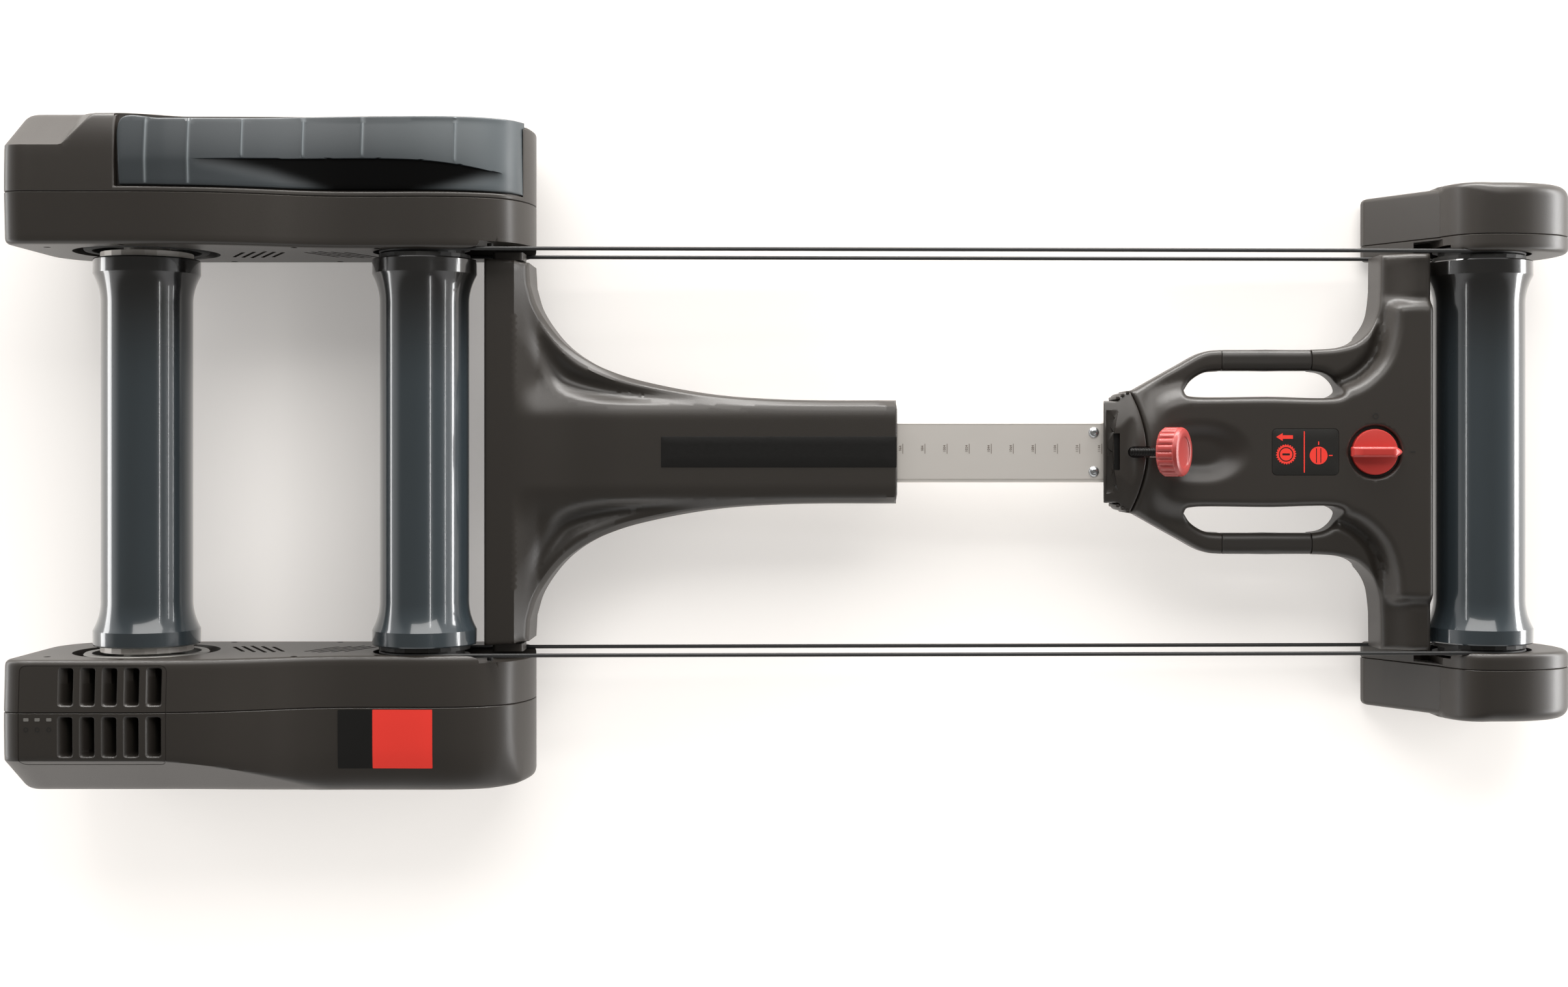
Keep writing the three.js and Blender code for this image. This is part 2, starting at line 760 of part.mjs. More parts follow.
function makeSideBoxes() {
  meshOf("left_inner_shell", innerShell(1, false), "shell");
  meshOf("left_outer_shell", outerShell(1, left_facet_width, left_facet_reach, false), "shell");
  meshOf("right_inner_shell", innerShell(-1, true), "shell");
  meshOf("right_outer_shell", outerShell(-1, right_facet_width, right_facet_reach, true), "shell");
  meshOf("step_pad", padSolid(1, 0), "pad");
  meshOf("left_foot_strip", footStrip(1), "rubber");
  meshOf("right_foot_strip", footStrip(-1), "rubber");
}

// Drums

function barrel() {
  const inner = barrel_radius - drum_wall;
  const ring_y = drum_half_length - ring_width;
  const flare_y = ring_y - flare_width;
  const rise = ring_radius - barrel_radius;
  const outer = [
    ...flare_share.map(([along, up]) => [barrel_radius + up * rise, flare_y + along * flare_width]),
    [ring_radius, drum_half_length - ring_chamfer],
    [ring_radius - ring_chamfer, drum_half_length],
  ];
  const mirror = outer.map(([radius, y]) => [radius, -y]).reverse();
  return turned([[inner, -drum_half_length], ...mirror, ...outer, [inner, drum_half_length]]);
}

function endCap(side) {
  const outer = barrel_radius - drum_wall - fit_gap;
  const seat = bearing_radius + fit_gap;
  const lip_y = drum_half_length - bearing_setback;
  const profile = [
    [seat, drum_half_length - cap_depth],
    [outer, drum_half_length - cap_depth],
    [outer, drum_half_length],
    [cap_lip_bore, drum_half_length],
    [cap_lip_bore, lip_y],
    [seat, lip_y],
  ];
  return turned(profile, side, small_sides);
}

function bearing(side) {
  const y1 = drum_half_length - bearing_setback - fit_gap;
  const y0 = y1 - bearing_width;
  return ringY(0, 0, axle_radius + fit_gap, bearing_radius, side * y0, side * y1);
}

function beltPulley(side) {
  const y0 = drum_half_length + fit_gap;
  const profile = [
    [pulley_bore, y0],
    [pulley_outer_radius, y0],
    [pulley_outer_radius, belt_plane_y - pulley_groove_half_width],
    [pulley_groove_radius, belt_plane_y - pulley_groove_half_width],
    [pulley_groove_radius, belt_plane_y + pulley_groove_half_width],
    [pulley_outer_radius, belt_plane_y + pulley_groove_half_width],
    [pulley_outer_radius, pulley_end_y],
    [pulley_bore, pulley_end_y],
  ];
  return turned(profile, side, drum_sides);
}

// The metal hub on a rear drum's end; the right one carries the pulley of the ribbed belt.
function hubFlange(side, tail) {
  const y0 = drum_half_length + fit_gap;
  const profile = [
    [hub_bore, y0],
    [hub_flange_radius, y0],
    [hub_flange_radius, y0 + hub_flange_width],
    [hub_sleeve_radius, y0 + hub_flange_width],
    ...tail,
    [hub_bore, tail[tail.length - 1][1]],
  ];
  return turned(profile, side, drum_sides);
}

function drivePulleyTail() {
  const [y0, y1] = ribbed_belt_y;
  const lip_radius = drive_pulley_radius + drive_pulley_flange;
  return [
    [hub_sleeve_radius, y0 - drive_pulley_lip - fit_gap],
    [lip_radius, y0 - drive_pulley_lip - fit_gap],
    [lip_radius, y0 - fit_gap],
    [drive_pulley_radius, y0 - fit_gap],
    [drive_pulley_radius, y1],
    [hub_sleeve_radius, y1],
  ];
}

const sides = [["left", 1], ["right", -1]];

function drumGroup(name, x, z) {
  const group = new THREE.Group();
  group.name = `${name}_drum_group`;
  group.position.set(x, 0, z);
  rollers.add(group);
  meshOf(`${name}_drum_barrel`, barrel(), "drum", group);
  for (const [word, side] of sides) {
    meshOf(`${name}_cap_${word}`, endCap(side), "dark_plastic", group);
    meshOf(`${name}_bearing_${word}`, bearing(side), "steel", group);
  }
  return group;
}

function makeDrums() {
  const rear = drumGroup("rear", rear_axle_x, axle_z);
  const mid = drumGroup("mid", mid_axle_x, axle_z);
  const front = drumGroup("front", front_axle_x, front_axle_z);
  meshOf("rear_hub_left", hubFlange(1, [[hub_sleeve_radius, left_hub_reach]]), "aluminium", rear);
  meshOf("rear_hub_right", hubFlange(-1, drivePulleyTail()), "aluminium", rear);
  for (const [word, side] of sides) {
    meshOf(`mid_pulley_${word}`, beltPulley(side), "dark_plastic", mid);
    meshOf(`front_pulley_${word}`, beltPulley(side), "dark_plastic", front);
  }
  const box_seat = recess_floor_y + recess_back + axle_seat_depth - fit_gap;
  const pod_seat = recess_floor_y + front_axle_seat;
  meshOf("rear_axle", rodY(0, 0, axle_radius, -axle_half_length, axle_half_length), "steel", rear);
  meshOf("mid_axle", rodY(0, 0, axle_radius, -box_seat, box_seat), "steel", mid);
  meshOf("front_axle", rodY(0, 0, axle_radius, -pod_seat, pod_seat), "steel", front);
}

// Belts

// Centre line of an open belt round two pulleys: points [x, z, outward x, outward z]
function beltPath(x0, z0, r0, x1, z1, r1, arc_steps) {
  const distance = Math.hypot(x1 - x0, z1 - z0);
  const slope = Math.atan2(z1 - z0, x1 - x0);
  const lean = Math.acos((r0 - r1) / distance);
  const points = [];
  const arc = (cx, cz, radius, from, to) => {
    for (let i = 0; i <= arc_steps; i += 1) {
      const angle = from + ((to - from) * i) / arc_steps;
      const [nx, nz] = [Math.cos(angle), Math.sin(angle)];
      points.push([cx + radius * nx, cz + radius * nz, nx, nz]);
    }
  };
  arc(x1, z1, r1, slope - lean, slope + lean);
  arc(x0, z0, r0, slope + lean, slope + 2 * Math.PI - lean);
  return points;
}

function driveBelt(side) {
  const path = beltPath(
    mid_axle_x,
    axle_z,
    belt_pitch_radius,
    front_axle_x,
    front_axle_z,
    belt_pitch_radius,
    belt_arc_steps,
  );
  const rings = path.map(([x, z, nx, nz]) => {
    const ring = [];
    for (let i = 0; i < belt_sides; i += 1) {
      const angle = (2 * Math.PI * i) / belt_sides;
      const out = belt_radius * Math.cos(angle);
      ring.push([x + nx * out, side * belt_plane_y + belt_radius * Math.sin(angle), z + nz * out]);
    }
    return ring;
  });
  return loft(rings, true);
}

function ribbedBelt(side) {
  const middle = ribbed_belt_thickness / 2 + 2 * fit_gap;
  const path = beltPath(
    rear_axle_x,
    axle_z,
    drive_pulley_radius + middle,
    flywheel_x,
    flywheel_z,
    small_pulley_radius + middle,
    ribbed_arc_steps,
  );
  const [y0, y1] = ribbed_belt_y.map((y) => side * y);
  const half = ribbed_belt_thickness / 2;
  const rings = path.map(([x, z, nx, nz]) => [
    [x - nx * half, y0, z - nz * half],
    [x + nx * half, y0, z + nz * half],
    [x + nx * half, y1, z + nz * half],
    [x - nx * half, y1, z - nz * half],
  ]);
  return loft(rings, true);
}

function makeBelts() {
  meshOf("drive_belt_left", driveBelt(1), "belt");
  meshOf("drive_belt_right", driveBelt(-1), "belt");
  meshOf("ribbed_belt", ribbedBelt(-1), "belt");
}

// Resistance unit

function brakeBoss(side, face_y) {
  const x = flywheel_x + flywheel_radius + brake_gap;
  const y0 = side * (flywheel_y[1] + brake_gap + brake_cheek + fit_gap);
  const half = brake_half_height / 2;
  return box(x - brake_reach, x + brake_back, y0, face_y, flywheel_z - half, flywheel_z + half);
}

function boardStandoffs(side) {
  const x1 = rear_x + box_wall / 2 + board_standoff;
  const places = [];
  for (const y of [board_inner_y + 2 * standoff_radius, board_inner_y + board_width - 2 * standoff_radius]) {
    for (const z of [board_z + 2 * standoff_radius, board_z + board_height - 2 * standoff_radius]) {
      places.push(rodX(side * y, z, standoff_radius, rear_x + box_wall / 2, x1));
    }
  }
  return places;
}

function flywheel() {
  const [y0, y1] = flywheel_y;
  const middle = (y0 + y1) / 2;
  const bore = shaft_radius + fit_gap;
  const rim = flywheel_radius - flywheel_rim;
  const profile = [
    [bore, y0],
    [flywheel_hub, y0],
    [flywheel_hub, middle - flywheel_web / 2],
    [rim, middle - flywheel_web / 2],
    [rim, y0],
    [flywheel_radius, y0],
    [flywheel_radius, y1],
    [rim, y1],
    [rim, middle + flywheel_web / 2],
    [flywheel_hub, middle + flywheel_web / 2],
    [flywheel_hub, y1],
    [bore, y1],
  ];
  return turned(profile, -1, drum_sides);
}

function brakeMagnet(side) {
  const x = flywheel_x + flywheel_radius + brake_gap;
  const y0 = flywheel_y[0] - brake_gap;
  const y1 = flywheel_y[1] + brake_gap;
  const z0 = flywheel_z - brake_half_height;
  const z1 = flywheel_z + brake_half_height;
  const [cheek_y0, cheek_y1] = [side * (y0 - brake_cheek), side * (y1 + brake_cheek)];
  const block = box(x - brake_reach, x + brake_back, cheek_y0, cheek_y1, z0, z1);
  return block.subtract(box(x - 2 * brake_reach, x, side * y0, side * y1, z0 - cut_over, z1 + cut_over));
}

function makeResistanceUnit() {
  const unit = new THREE.Group();
  unit.position.set(flywheel_x, 0, flywheel_z);
  rollers.add(unit);
  meshOf("flywheel", flywheel(), "iron", unit);
  const shaft_y0 = -(shaft_inner_seat_y + fit_gap);
  const shaft_y1 = -(shaft_outer_seat_y - fit_gap);
  meshOf("flywheel_shaft", rodY(0, 0, shaft_radius, shaft_y0, shaft_y1), "steel", unit);
  const [belt_y0, belt_y1] = ribbed_belt_y;
  const small = ringY(0, 0, shaft_radius + fit_gap, small_pulley_radius, -belt_y0, -belt_y1);
  meshOf("small_pulley", small, "steel", unit);
  const seat = shaft_bearing_radius;
  const inner_y = -(shaft_inner_seat_y + fit_gap);
  const outer_y = -(shaft_outer_seat_y - fit_gap);
  const width = shaft_bearing_width - fit_gap;
  const bore = shaft_radius + fit_gap;
  meshOf("shaft_bearing_inner", ringY(0, 0, bore, seat, inner_y, inner_y - width), "steel", unit);
  meshOf("shaft_bearing_outer", ringY(0, 0, bore, seat, outer_y, outer_y + width), "steel", unit);
  meshOf("brake_magnet", brakeMagnet(-1), "iron");
  const board_x = rear_x + box_wall / 2 + board_standoff + fit_gap;
  const board_y = -board_inner_y;
  const board = box(
    board_x,
    board_x + board_thickness,
    board_y,
    board_y - board_width,
    board_z,
    board_z + board_height,
  );
  meshOf("control_board", board, "board_green");
}

// Rear beam and tube

function tubeHole(x0, x1) {
  const half = tube_half_width + fit_gap;
  return box(x0, x1, -half, half, tube_top_z - tube_height - fit_gap, tube_top_z + fit_gap);
}

function rearBeam() {
  const base = plate(
    mirrored(planPoints(funnel_share, beam_x, beam_length, crossbar_half)),
    beam_bottom_z,
    beam_shoulder_z,
    beam_wall,
  );
  const spine = plate(
    mirrored(planPoints(spine_share, beam_x, beam_length, crossbar_half)),
    beam_shoulder_z - 2 * beam_wall,
    beam_top_z,
    beam_wall / 2,
  );
  const inset_x = beam_x + beam_wall;
  const inside_length = beam_length - 2 * beam_wall;
  const inside = planPoints(funnel_share, inset_x, inside_length, crossbar_half - beam_wall).map(([x, y]) => [
    x,
    y - beam_wall,
  ]);
  const hollow = plate(mirrored(inside), beam_bottom_z - cut_over, beam_shoulder_z - beam_wall);
  const tube_start = beam_end_x - tube_socket;
  const ribs = rib_places_share.map((share) => {
    const x = tube_start + share * tube_socket;
    const half = tube_half_width + 2 * rib_thickness;
    const x0 = Math.min(x, beam_end_x - rib_thickness);
    return box(x0, x0 + rib_thickness, -half, half, beam_bottom_z + beam_wall, beam_shoulder_z);
  });
  const shell = base.add(spine).subtract(hollow);
  const ends = sides.map(([, side]) => {
    const [x0, x1, z0, z1] = rear_tenon;
    const y0 = side * (crossbar_half - 2 * beam_wall);
    return box(beam_x + x0, beam_x + x1, y0, side * (recess_floor_y - fit_gap), z0, z1);
  });
  return join([shell, ...ribs, ...ends]).subtract(tubeHole(tube_start - fit_gap, beam_end_x + cut_over));
}

function beamTube() {
  const x0 = beam_end_x - tube_socket;
  const bottom = tube_top_z - tube_height;
  const half = tube_half_width;
  const outside = box(x0, tube_end_x, -half, half, bottom, tube_top_z);
  const inner_half = half - tube_wall;
  const z0 = bottom + tube_wall;
  const z1 = tube_top_z - tube_wall;
  const bore = box(x0 - cut_over, tube_end_x + cut_over, -inner_half, inner_half, z0, z1);
  const holes = sides.map(([, side]) => {
    const hole_radius = stop_shank_radius + fit_gap;
    return rodZ(stopScrewX(), side * stop_screw_y, hole_radius, z1 - cut_over, tube_top_z + cut_over);
  });
  return cut(outside, [bore, ...holes]);
}

function stopScrewX() {
  return collar_x - stop_screw_setback - stop_head_radius / 2;
}

function stopScrew(side) {
  const x = stopScrewX();
  const y = side * stop_screw_y;
  const head = rodZ(x, y, stop_head_radius, tube_top_z, tube_top_z + stop_head_height);
  const shank_z = tube_top_z - stop_shank_length;
  const shank = rodZ(x, y, stop_shank_radius, shank_z, tube_top_z + stop_head_height / 2);
  return head.add(shank);
}

function makeBeam() {
  meshOf("rear_beam", rearBeam(), "shell");
  meshOf("beam_tube", beamTube(), "aluminium");
  meshOf("stop_screw_left", stopScrew(1), "steel");
  meshOf("stop_screw_right", stopScrew(-1), "steel");
}

// Front section

// The way through collar and housing for the tube, with relief above for the stop screws' heads
function throat(x0, x1, relief_x1) {
  const relief_top = tube_top_z + throat_relief_height;
  const half = throat_relief_half;
  const relief = box(x0, relief_x1, -half, half, tube_top_z - cut_over, relief_top);
  return tubeHole(x0, x1).add(relief);
}

// A solid drawn round the knob's axis, placed where the knob is.
function onKnobAxis(geometry) {
  geometry.rotateY(Math.PI / 2 - THREE.MathUtils.degToRad(knob_tilt));
  geometry.translate(collar_x + knob_setback, 0, knob_z);
  return solidOf(geometry);
}

function knobAxisRod(radius, from, to, segments = small_sides) {
  const geometry = new THREE.CylinderGeometry(radius, radius, to - from, segments);
  geometry.rotateX(Math.PI / 2);
  geometry.translate(0, 0, (from + to) / 2);
  return onKnobAxis(geometry);
}

const screw_reach = (knob_z - screw_tip_z) / Math.sin(THREE.MathUtils.degToRad(knob_tilt));

function collar() {
  const root_x = collar_x + collar_length;
  const half = [
    [collar_x, collar_half_width],
    [collar_x + collar_step_share[0] * collar_length, collar_half_width],
    [collar_x + collar_step_share[1] * collar_length, (collar_half_width + collar_root_half_width) / 2],
    [root_x, collar_root_half_width],
  ];
  const block = plate(mirrored(half), collar_bottom_z, collar_top_z, collar_bevel);
  const trough_x = collar_x + trough_inset;
  const trough = box(
    trough_x,
    trough_x + trough_width,
    -trough_half_length,
    trough_half_length,
    collar_top_z - trough_depth,
    collar_top_z + cut_over,
  );
  const bore = knobAxisRod(screw_radius + fit_gap, -screw_reach - cut_over, 0);
  const over = root_x + cut_over;
  return cut(block, [throat(collar_x - cut_over, over, over), trough, bore]);
}

function handHole(side) {
  const outline = planPoints(hand_hole_share, housing_x, housing_length, side * crossbar_half);
  return plate(outline, arm_bottom_z - cut_over, arm_top_z + cut_over);
}

function housing() {
  const outline = mirrored(planPoints(housing_share, housing_x, housing_length, crossbar_half));
  const arms = cut(plate(outline, arm_bottom_z, arm_top_z), [handHole(1), handHole(-1)]);
  const body_outline = [
    [housing_x, -body_half_width],
    [housing_front_x, -body_half_width],
    [housing_front_x, body_half_width],
    [housing_x, body_half_width],
  ];
  const body = plate(body_outline, housing_bottom_z, housing_top_z, body_bevel);
  const crossbar_x = housing_front_x - crossbar_depth;
  const crossbar_outline = [
    [crossbar_x, -crossbar_half],
    [housing_front_x, -crossbar_half],
    [housing_front_x, crossbar_half],
    [crossbar_x, crossbar_half],
  ];
  const crossbar = plate(crossbar_outline, front_crossbar_bottom_z, housing_top_z, body_bevel);
  const legs = sides.flatMap(([, side]) => {
    const [x0, x1, z0, z1] = front_tenon;
    const inner = side * (crossbar_half - leg_width);
    const base_x = housing_front_x - x1;
    const leg = box(base_x, housing_front_x, inner, side * crossbar_half, leg_bottom_z, leg_top_z);
    const root_y = side * (crossbar_half - fit_gap);
    const tenon = box(base_x, housing_front_x - x0, root_y, side * (recess_floor_y - fit_gap), z0, z1);
    return [leg, tenon];
  });
  const solid = join([arms, body, crossbar, ...legs]);
  return cut(solid, [...housingPockets(crossbar_x), ...gripSeats(), ...controlPockets()]);
}

// Hollows under the housing: the tube's channel, the sides of the body and the crossbar
function housingPockets(crossbar_x) {
  const relief_end = stopScrewX() + slide_travel + 2 * stop_head_radius;
  const half = tube_half_width + fit_gap;
  const low = front_crossbar_bottom_z - cut_over;
  const channel = box(housing_x - cut_over, channel_end_x, -half, half, low, tube_top_z - cut_over);
  const roof_z = housing_top_z - housing_wall - body_bevel;
  const pockets = [throat(housing_x - cut_over, channel_end_x, relief_end), channel];
  for (const [, side] of sides) {
    const in_y = side * (half + housing_wall);
    const out_y = side * (body_half_width - housing_wall);
    pockets.push(box(housing_x + housing_wall, crossbar_x - housing_wall, in_y, out_y, low, roof_z));
    const end_y = side * (crossbar_half - leg_width);
    pockets.push(box(crossbar_x + housing_wall, channel_end_x, in_y, end_y, low, roof_z));
  }
  return pockets;
}

// Where the grip sleeves wrap the arms, the arms are thinner.
function gripSeats() {
  const x0 = housing_x + grip_share[0] * housing_length;
  const x1 = housing_x + grip_share[1] * housing_length;
  return sides.map(([, side]) => {
    const [y0, y1] = grip_bar_y;
    const y_in = side * (y0 - cut_over);
    const y_out = side * (y1 + 2 * cut_over);
    const block = box(x0, x1, y_in, y_out, arm_bottom_z - cut_over, arm_top_z + cut_over);
    return block.subtract(gripCore(side, x0 - cut_over, x1 + cut_over, 0));
  });
}

function gripCore(side, x0, x1, grow) {
  const [y0, y1] = grip_bar_y;
  const y_in = side * (y0 + grip_wall - grow);
  const y_out = side * (y1 - grip_wall + grow);
  return box(x0, x1, y_in, y_out, grip_bottom_z + grip_wall - grow, grip_top_z - grip_wall + grow);
}

function grip(side) {
  const x0 = housing_x + grip_share[0] * housing_length + fit_gap;
  const x1 = housing_x + grip_share[1] * housing_length - fit_gap;
  const [y0, y1] = grip_bar_y;
  const c = grip_corner;
  const ring = (x) => [
    [x, side * (y0 + c), grip_bottom_z],
    [x, side * (y1 - c), grip_bottom_z],
    [x, side * y1, grip_bottom_z + c],
    [x, side * y1, grip_top_z - c],
    [x, side * (y1 - c), grip_top_z],
    [x, side * (y0 + c), grip_top_z],
    [x, side * y0, grip_top_z - c],
    [x, side * y0, grip_bottom_z + c],
  ];
  return loft([ring(x0), ring(x1)]).subtract(gripCore(side, x0 - cut_over, x1 + cut_over, fit_gap));
}

function labelOutline(grow) {
  const x0 = collar_x + label_share * front_reach - grow;
  const x1 = dial_x - dial_recess_radius - label_dial_gap + grow;
  const y = label_half_width + grow;
  const c = label_corner;
  return [
    [x0 + c, -y], [x1 - c, -y], [x1, -y + c], [x1, y - c],
    [x1 - c, y], [x0 + c, y], [x0, y - c], [x0, -y + c],
  ];
}

// Places for the knob, its screw, the dish around it, the label and the dial
function controlPockets() {
  const dish = new THREE.SphereGeometry(1, dish_segments, dish_segments / 2);
  dish.scale(...dish_radii);
  dish.translate(collar_x + dish_setback, 0, housing_top_z);
  return [
    solidOf(dish),
    knobAxisRod(knob_radius + knob_pocket, -knob_length / 2 - knob_pocket, knob_length, drum_sides),
    knobAxisRod(screw_radius + fit_gap, -screw_reach - cut_over, 0),
    plate(labelOutline(fit_gap), label_bottom_z, housing_top_z + cut_over),
    rodZ(dial_x, 0, dial_recess_radius, dial_floor_z, housing_top_z + cut_over, drum_sides),
    rodZ(dial_x, 0, spindle_radius + fit_gap, tube_top_z, housing_top_z, drum_sides),
    rodZ(dial_x, 0, spindle_flange_radius + fit_gap, tube_top_z, spindle_seat_z, drum_sides),
  ];
}

function clampKnob() {
  const outline = [];
  for (let i = 0; i < 2 * knob_ribs; i += 1) {
    const angle = (Math.PI * i) / knob_ribs;
    const radius = knob_radius - knob_bevel - (i % 2) * knob_rib_depth;
    outline.push(new THREE.Vector2(radius * Math.cos(angle), radius * Math.sin(angle)));
  }
  const geometry = new THREE.ExtrudeGeometry(new THREE.Shape(outline), {
    depth: knob_length - 2 * knob_bevel,
    bevelEnabled: true,
    bevelThickness: knob_bevel,
    bevelSize: knob_bevel,
    bevelSegments: 1,
    curveSegments: 1,
  });
  geometry.translate(0, 0, knob_bevel - knob_length / 2);
  return onKnobAxis(geometry);
}

function dial() {
  const z0 = dial_floor_z + fit_gap;
  const disc = rodZ(dial_x, 0, dial_radius, z0, z0 + dial_thickness, drum_sides);
  const half = dial_bar_width / 2;
  const reach = dial_radius - dial_bar_inset;
  const bar = [
    [dial_x - reach, -half],
    [dial_x + reach - half, -half],
    [dial_x + reach, 0],
    [dial_x + reach - half, half],
    [dial_x - reach, half],
  ];
  return disc.add(plate(bar, z0 + dial_thickness / 2, z0 + dial_thickness + dial_bar_height));
}

function dialSpindle() {
  const flange_z = tube_top_z + 2 * fit_gap;
  const flange = rodZ(dial_x, 0, spindle_flange_radius, flange_z, flange_z + spindle_flange, drum_sides);
  return flange.add(rodZ(dial_x, 0, spindle_radius, flange_z, dial_floor_z, drum_sides));
}

function podRing(y, inset) {
  const mid_x = pod_x + pod_length / 2;
  const mid_z = pod_foot_height + pod_height / 2;
  const along = 1 - (2 * inset) / pod_length;
  const across = 1 - (2 * inset) / pod_height;
  return pod_share.map(([u, v]) => {
    const x = pod_x + u * pod_length;
    const z = pod_foot_height + v * pod_height;
    return [mid_x + (x - mid_x) * along, y, mid_z + (z - mid_z) * across];
  });
}

function podInner(side) {
  const slab = loft([
    podRing(side * inner_wall_y, edge_round / 2),
    podRing(side * (inner_wall_y + edge_round / 2), 0),
    podRing(side * pod_seam_y, 0),
  ]);
  const y0 = side * (inner_wall_y - cut_over);
  const y1 = side * recess_floor_y;
  const round = rodY(front_axle_x, front_axle_z, mid_recess_radius, y0, y1, drum_sides);
  const low = front_axle_z - pod_channel_half;
  const high = front_axle_z + pod_channel_half;
  const channel = box(pod_x - cut_over, front_axle_x, y0, y1, low, high);
  const [, x1, z0] = front_tenon;
  const socket = box(housing_front_x - x1 - fit_gap, housing_front_x, y0, y1, z0 - fit_gap, low + cut_over);
  const seat_end = side * (recess_floor_y + front_axle_seat + fit_gap);
  const seat = rodY(front_axle_x, front_axle_z, axle_radius + fit_gap, y0, seat_end);
  return cut(slab, [round, channel, socket, seat]);
}

function podOuter(side) {
  const outside = loft([
    podRing(side * (pod_seam_y + fit_gap), 0),
    podRing(side * pod_bulge_y[0], 0),
    podRing(side * pod_bulge_y[1], pod_bulge_inset),
    podRing(side * pod_outer_y, pod_face_inset),
  ]);
  const hollow = loft([
    podRing(side * (pod_seam_y - cut_over), pod_wall),
    podRing(side * pod_bulge_y[0], pod_wall),
    podRing(side * (pod_outer_y - pod_wall), pod_wall + pod_face_inset),
  ]);
  return outside.subtract(hollow);
}

function podFoot(side) {
  const x0 = front_axle_x - pod_foot_length / 2;
  const y0 = side * (pod_seam_y - edge_round);
  return box(x0, x0 + pod_foot_length, y0, y0 + side * pod_foot_width, 0, pod_foot_height);
}

function makeFrontSection() {
  meshOf("collar", collar(), "shell");
  meshOf("front_housing", housing(), "shell");
  for (const [word, side] of sides) {
    meshOf(`grip_${word}`, grip(side), "grip");
    meshOf(`pod_inner_${word}`, podInner(side), "shell");
    meshOf(`pod_outer_${word}`, podOuter(side), "shell");
    meshOf(`pod_foot_${word}`, podFoot(side), "rubber");
  }
  meshOf("label_plate", plate(labelOutline(0), label_bottom_z + fit_gap, label_top_z), "label");
  meshOf("clamp_knob", clampKnob(), "knob_red");
  meshOf("clamp_screw", knobAxisRod(screw_radius, -screw_reach, -knob_length / 2 - fit_gap), "steel");
  meshOf("lock_dial", dial(), "dial_red");
  meshOf("dial_spindle", dialSpindle(), "steel");
}

makeSideBoxes();
makeDrums();
makeBelts();
makeResistanceUnit();
makeBeam();
makeFrontSection();

export default rollers;
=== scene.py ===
import json
import math

import bmesh
import bpy
import numpy as np
from mathutils import Matrix, Vector, geometry
from mathutils.bvhtree import BVHTree

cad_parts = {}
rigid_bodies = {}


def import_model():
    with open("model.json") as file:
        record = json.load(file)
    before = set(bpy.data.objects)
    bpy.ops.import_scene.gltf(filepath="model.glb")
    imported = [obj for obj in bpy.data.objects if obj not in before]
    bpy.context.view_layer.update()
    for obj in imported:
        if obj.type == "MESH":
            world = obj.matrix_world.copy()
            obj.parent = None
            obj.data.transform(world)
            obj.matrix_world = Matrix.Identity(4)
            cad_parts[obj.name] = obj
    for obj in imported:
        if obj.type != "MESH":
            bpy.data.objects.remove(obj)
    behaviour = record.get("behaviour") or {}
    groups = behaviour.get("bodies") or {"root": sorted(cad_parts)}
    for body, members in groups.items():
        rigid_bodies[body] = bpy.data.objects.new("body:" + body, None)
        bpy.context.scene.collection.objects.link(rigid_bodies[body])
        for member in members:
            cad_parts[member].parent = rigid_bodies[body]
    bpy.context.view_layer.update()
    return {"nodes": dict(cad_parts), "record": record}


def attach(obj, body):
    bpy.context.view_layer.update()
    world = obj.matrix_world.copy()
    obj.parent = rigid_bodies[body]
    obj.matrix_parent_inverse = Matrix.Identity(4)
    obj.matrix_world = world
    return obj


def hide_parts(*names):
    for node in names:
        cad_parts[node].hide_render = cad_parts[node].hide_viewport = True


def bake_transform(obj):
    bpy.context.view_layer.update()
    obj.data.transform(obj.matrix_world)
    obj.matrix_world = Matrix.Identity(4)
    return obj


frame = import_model()
nodes = frame["nodes"]

MM = 0.001
ON_AXIS = 0.001
AXIS_RADIUS = 0.01
ABOVE_ALL = 400.0
BATCH = 2000

# Places that the frame also has, in millimetres
REAR_X = -698.0
BOX_LENGTH = 450.0
BOX_HEIGHT = 174.0
BOX_BOTTOM = 8.0
BOX_MIDDLE_Z = BOX_BOTTOM + BOX_HEIGHT / 2
WALL_Y = 180.0
SEAM_Y = 225.0
OUTER_Y = 302.0
SEAM_GAP = 0.3
REAR_AXLE_X = -597.0
MID_AXLE_X = -345.5
FRONT_AXLE_X = 618.0
AXLE_Z = 98.0
FRONT_AXLE_Z = 75.0
BEAM_X = -291.0
BEAM_LENGTH = 373.3
HOUSING_X = 297.0
HOUSING_LENGTH = 266.0
CROSSBAR_HALF = 175.0
POD_X = 529.0
POD_LENGTH = 169.0
POD_HEIGHT = 118.0
POD_BOTTOM = 6.0
SIDES = (("left", 1), ("right", -1))


# Lines in a plane


def spline(points, step):
    """A smooth open line through the points, with a point about every step."""
    p = np.array(points, float)
    chord = np.linalg.norm(np.diff(p, axis=0), axis=1)
    gap = np.sqrt(chord)[:, None]
    slope = np.diff(p, axis=0) / gap
    inner = (slope[:-1] * gap[1:] + slope[1:] * gap[:-1]) / (gap[1:] + gap[:-1])
    tangent = np.vstack([slope[:1], inner, slope[-1:]])
    parts = []
    for i, length in enumerate(chord):
        count = max(2, math.ceil(length / step))
        t = np.arange(count)[:, None] / count
        rest = 1 - t
        parts.append(
            (1 + 2 * t) * rest**2 * p[i]
            + t * rest**2 * gap[i] * tangent[i]
            + t**2 * (3 - 2 * t) * p[i + 1]
            - t**2 * rest * gap[i] * tangent[i + 1]
        )
    return np.vstack([*parts, p[-1:]])


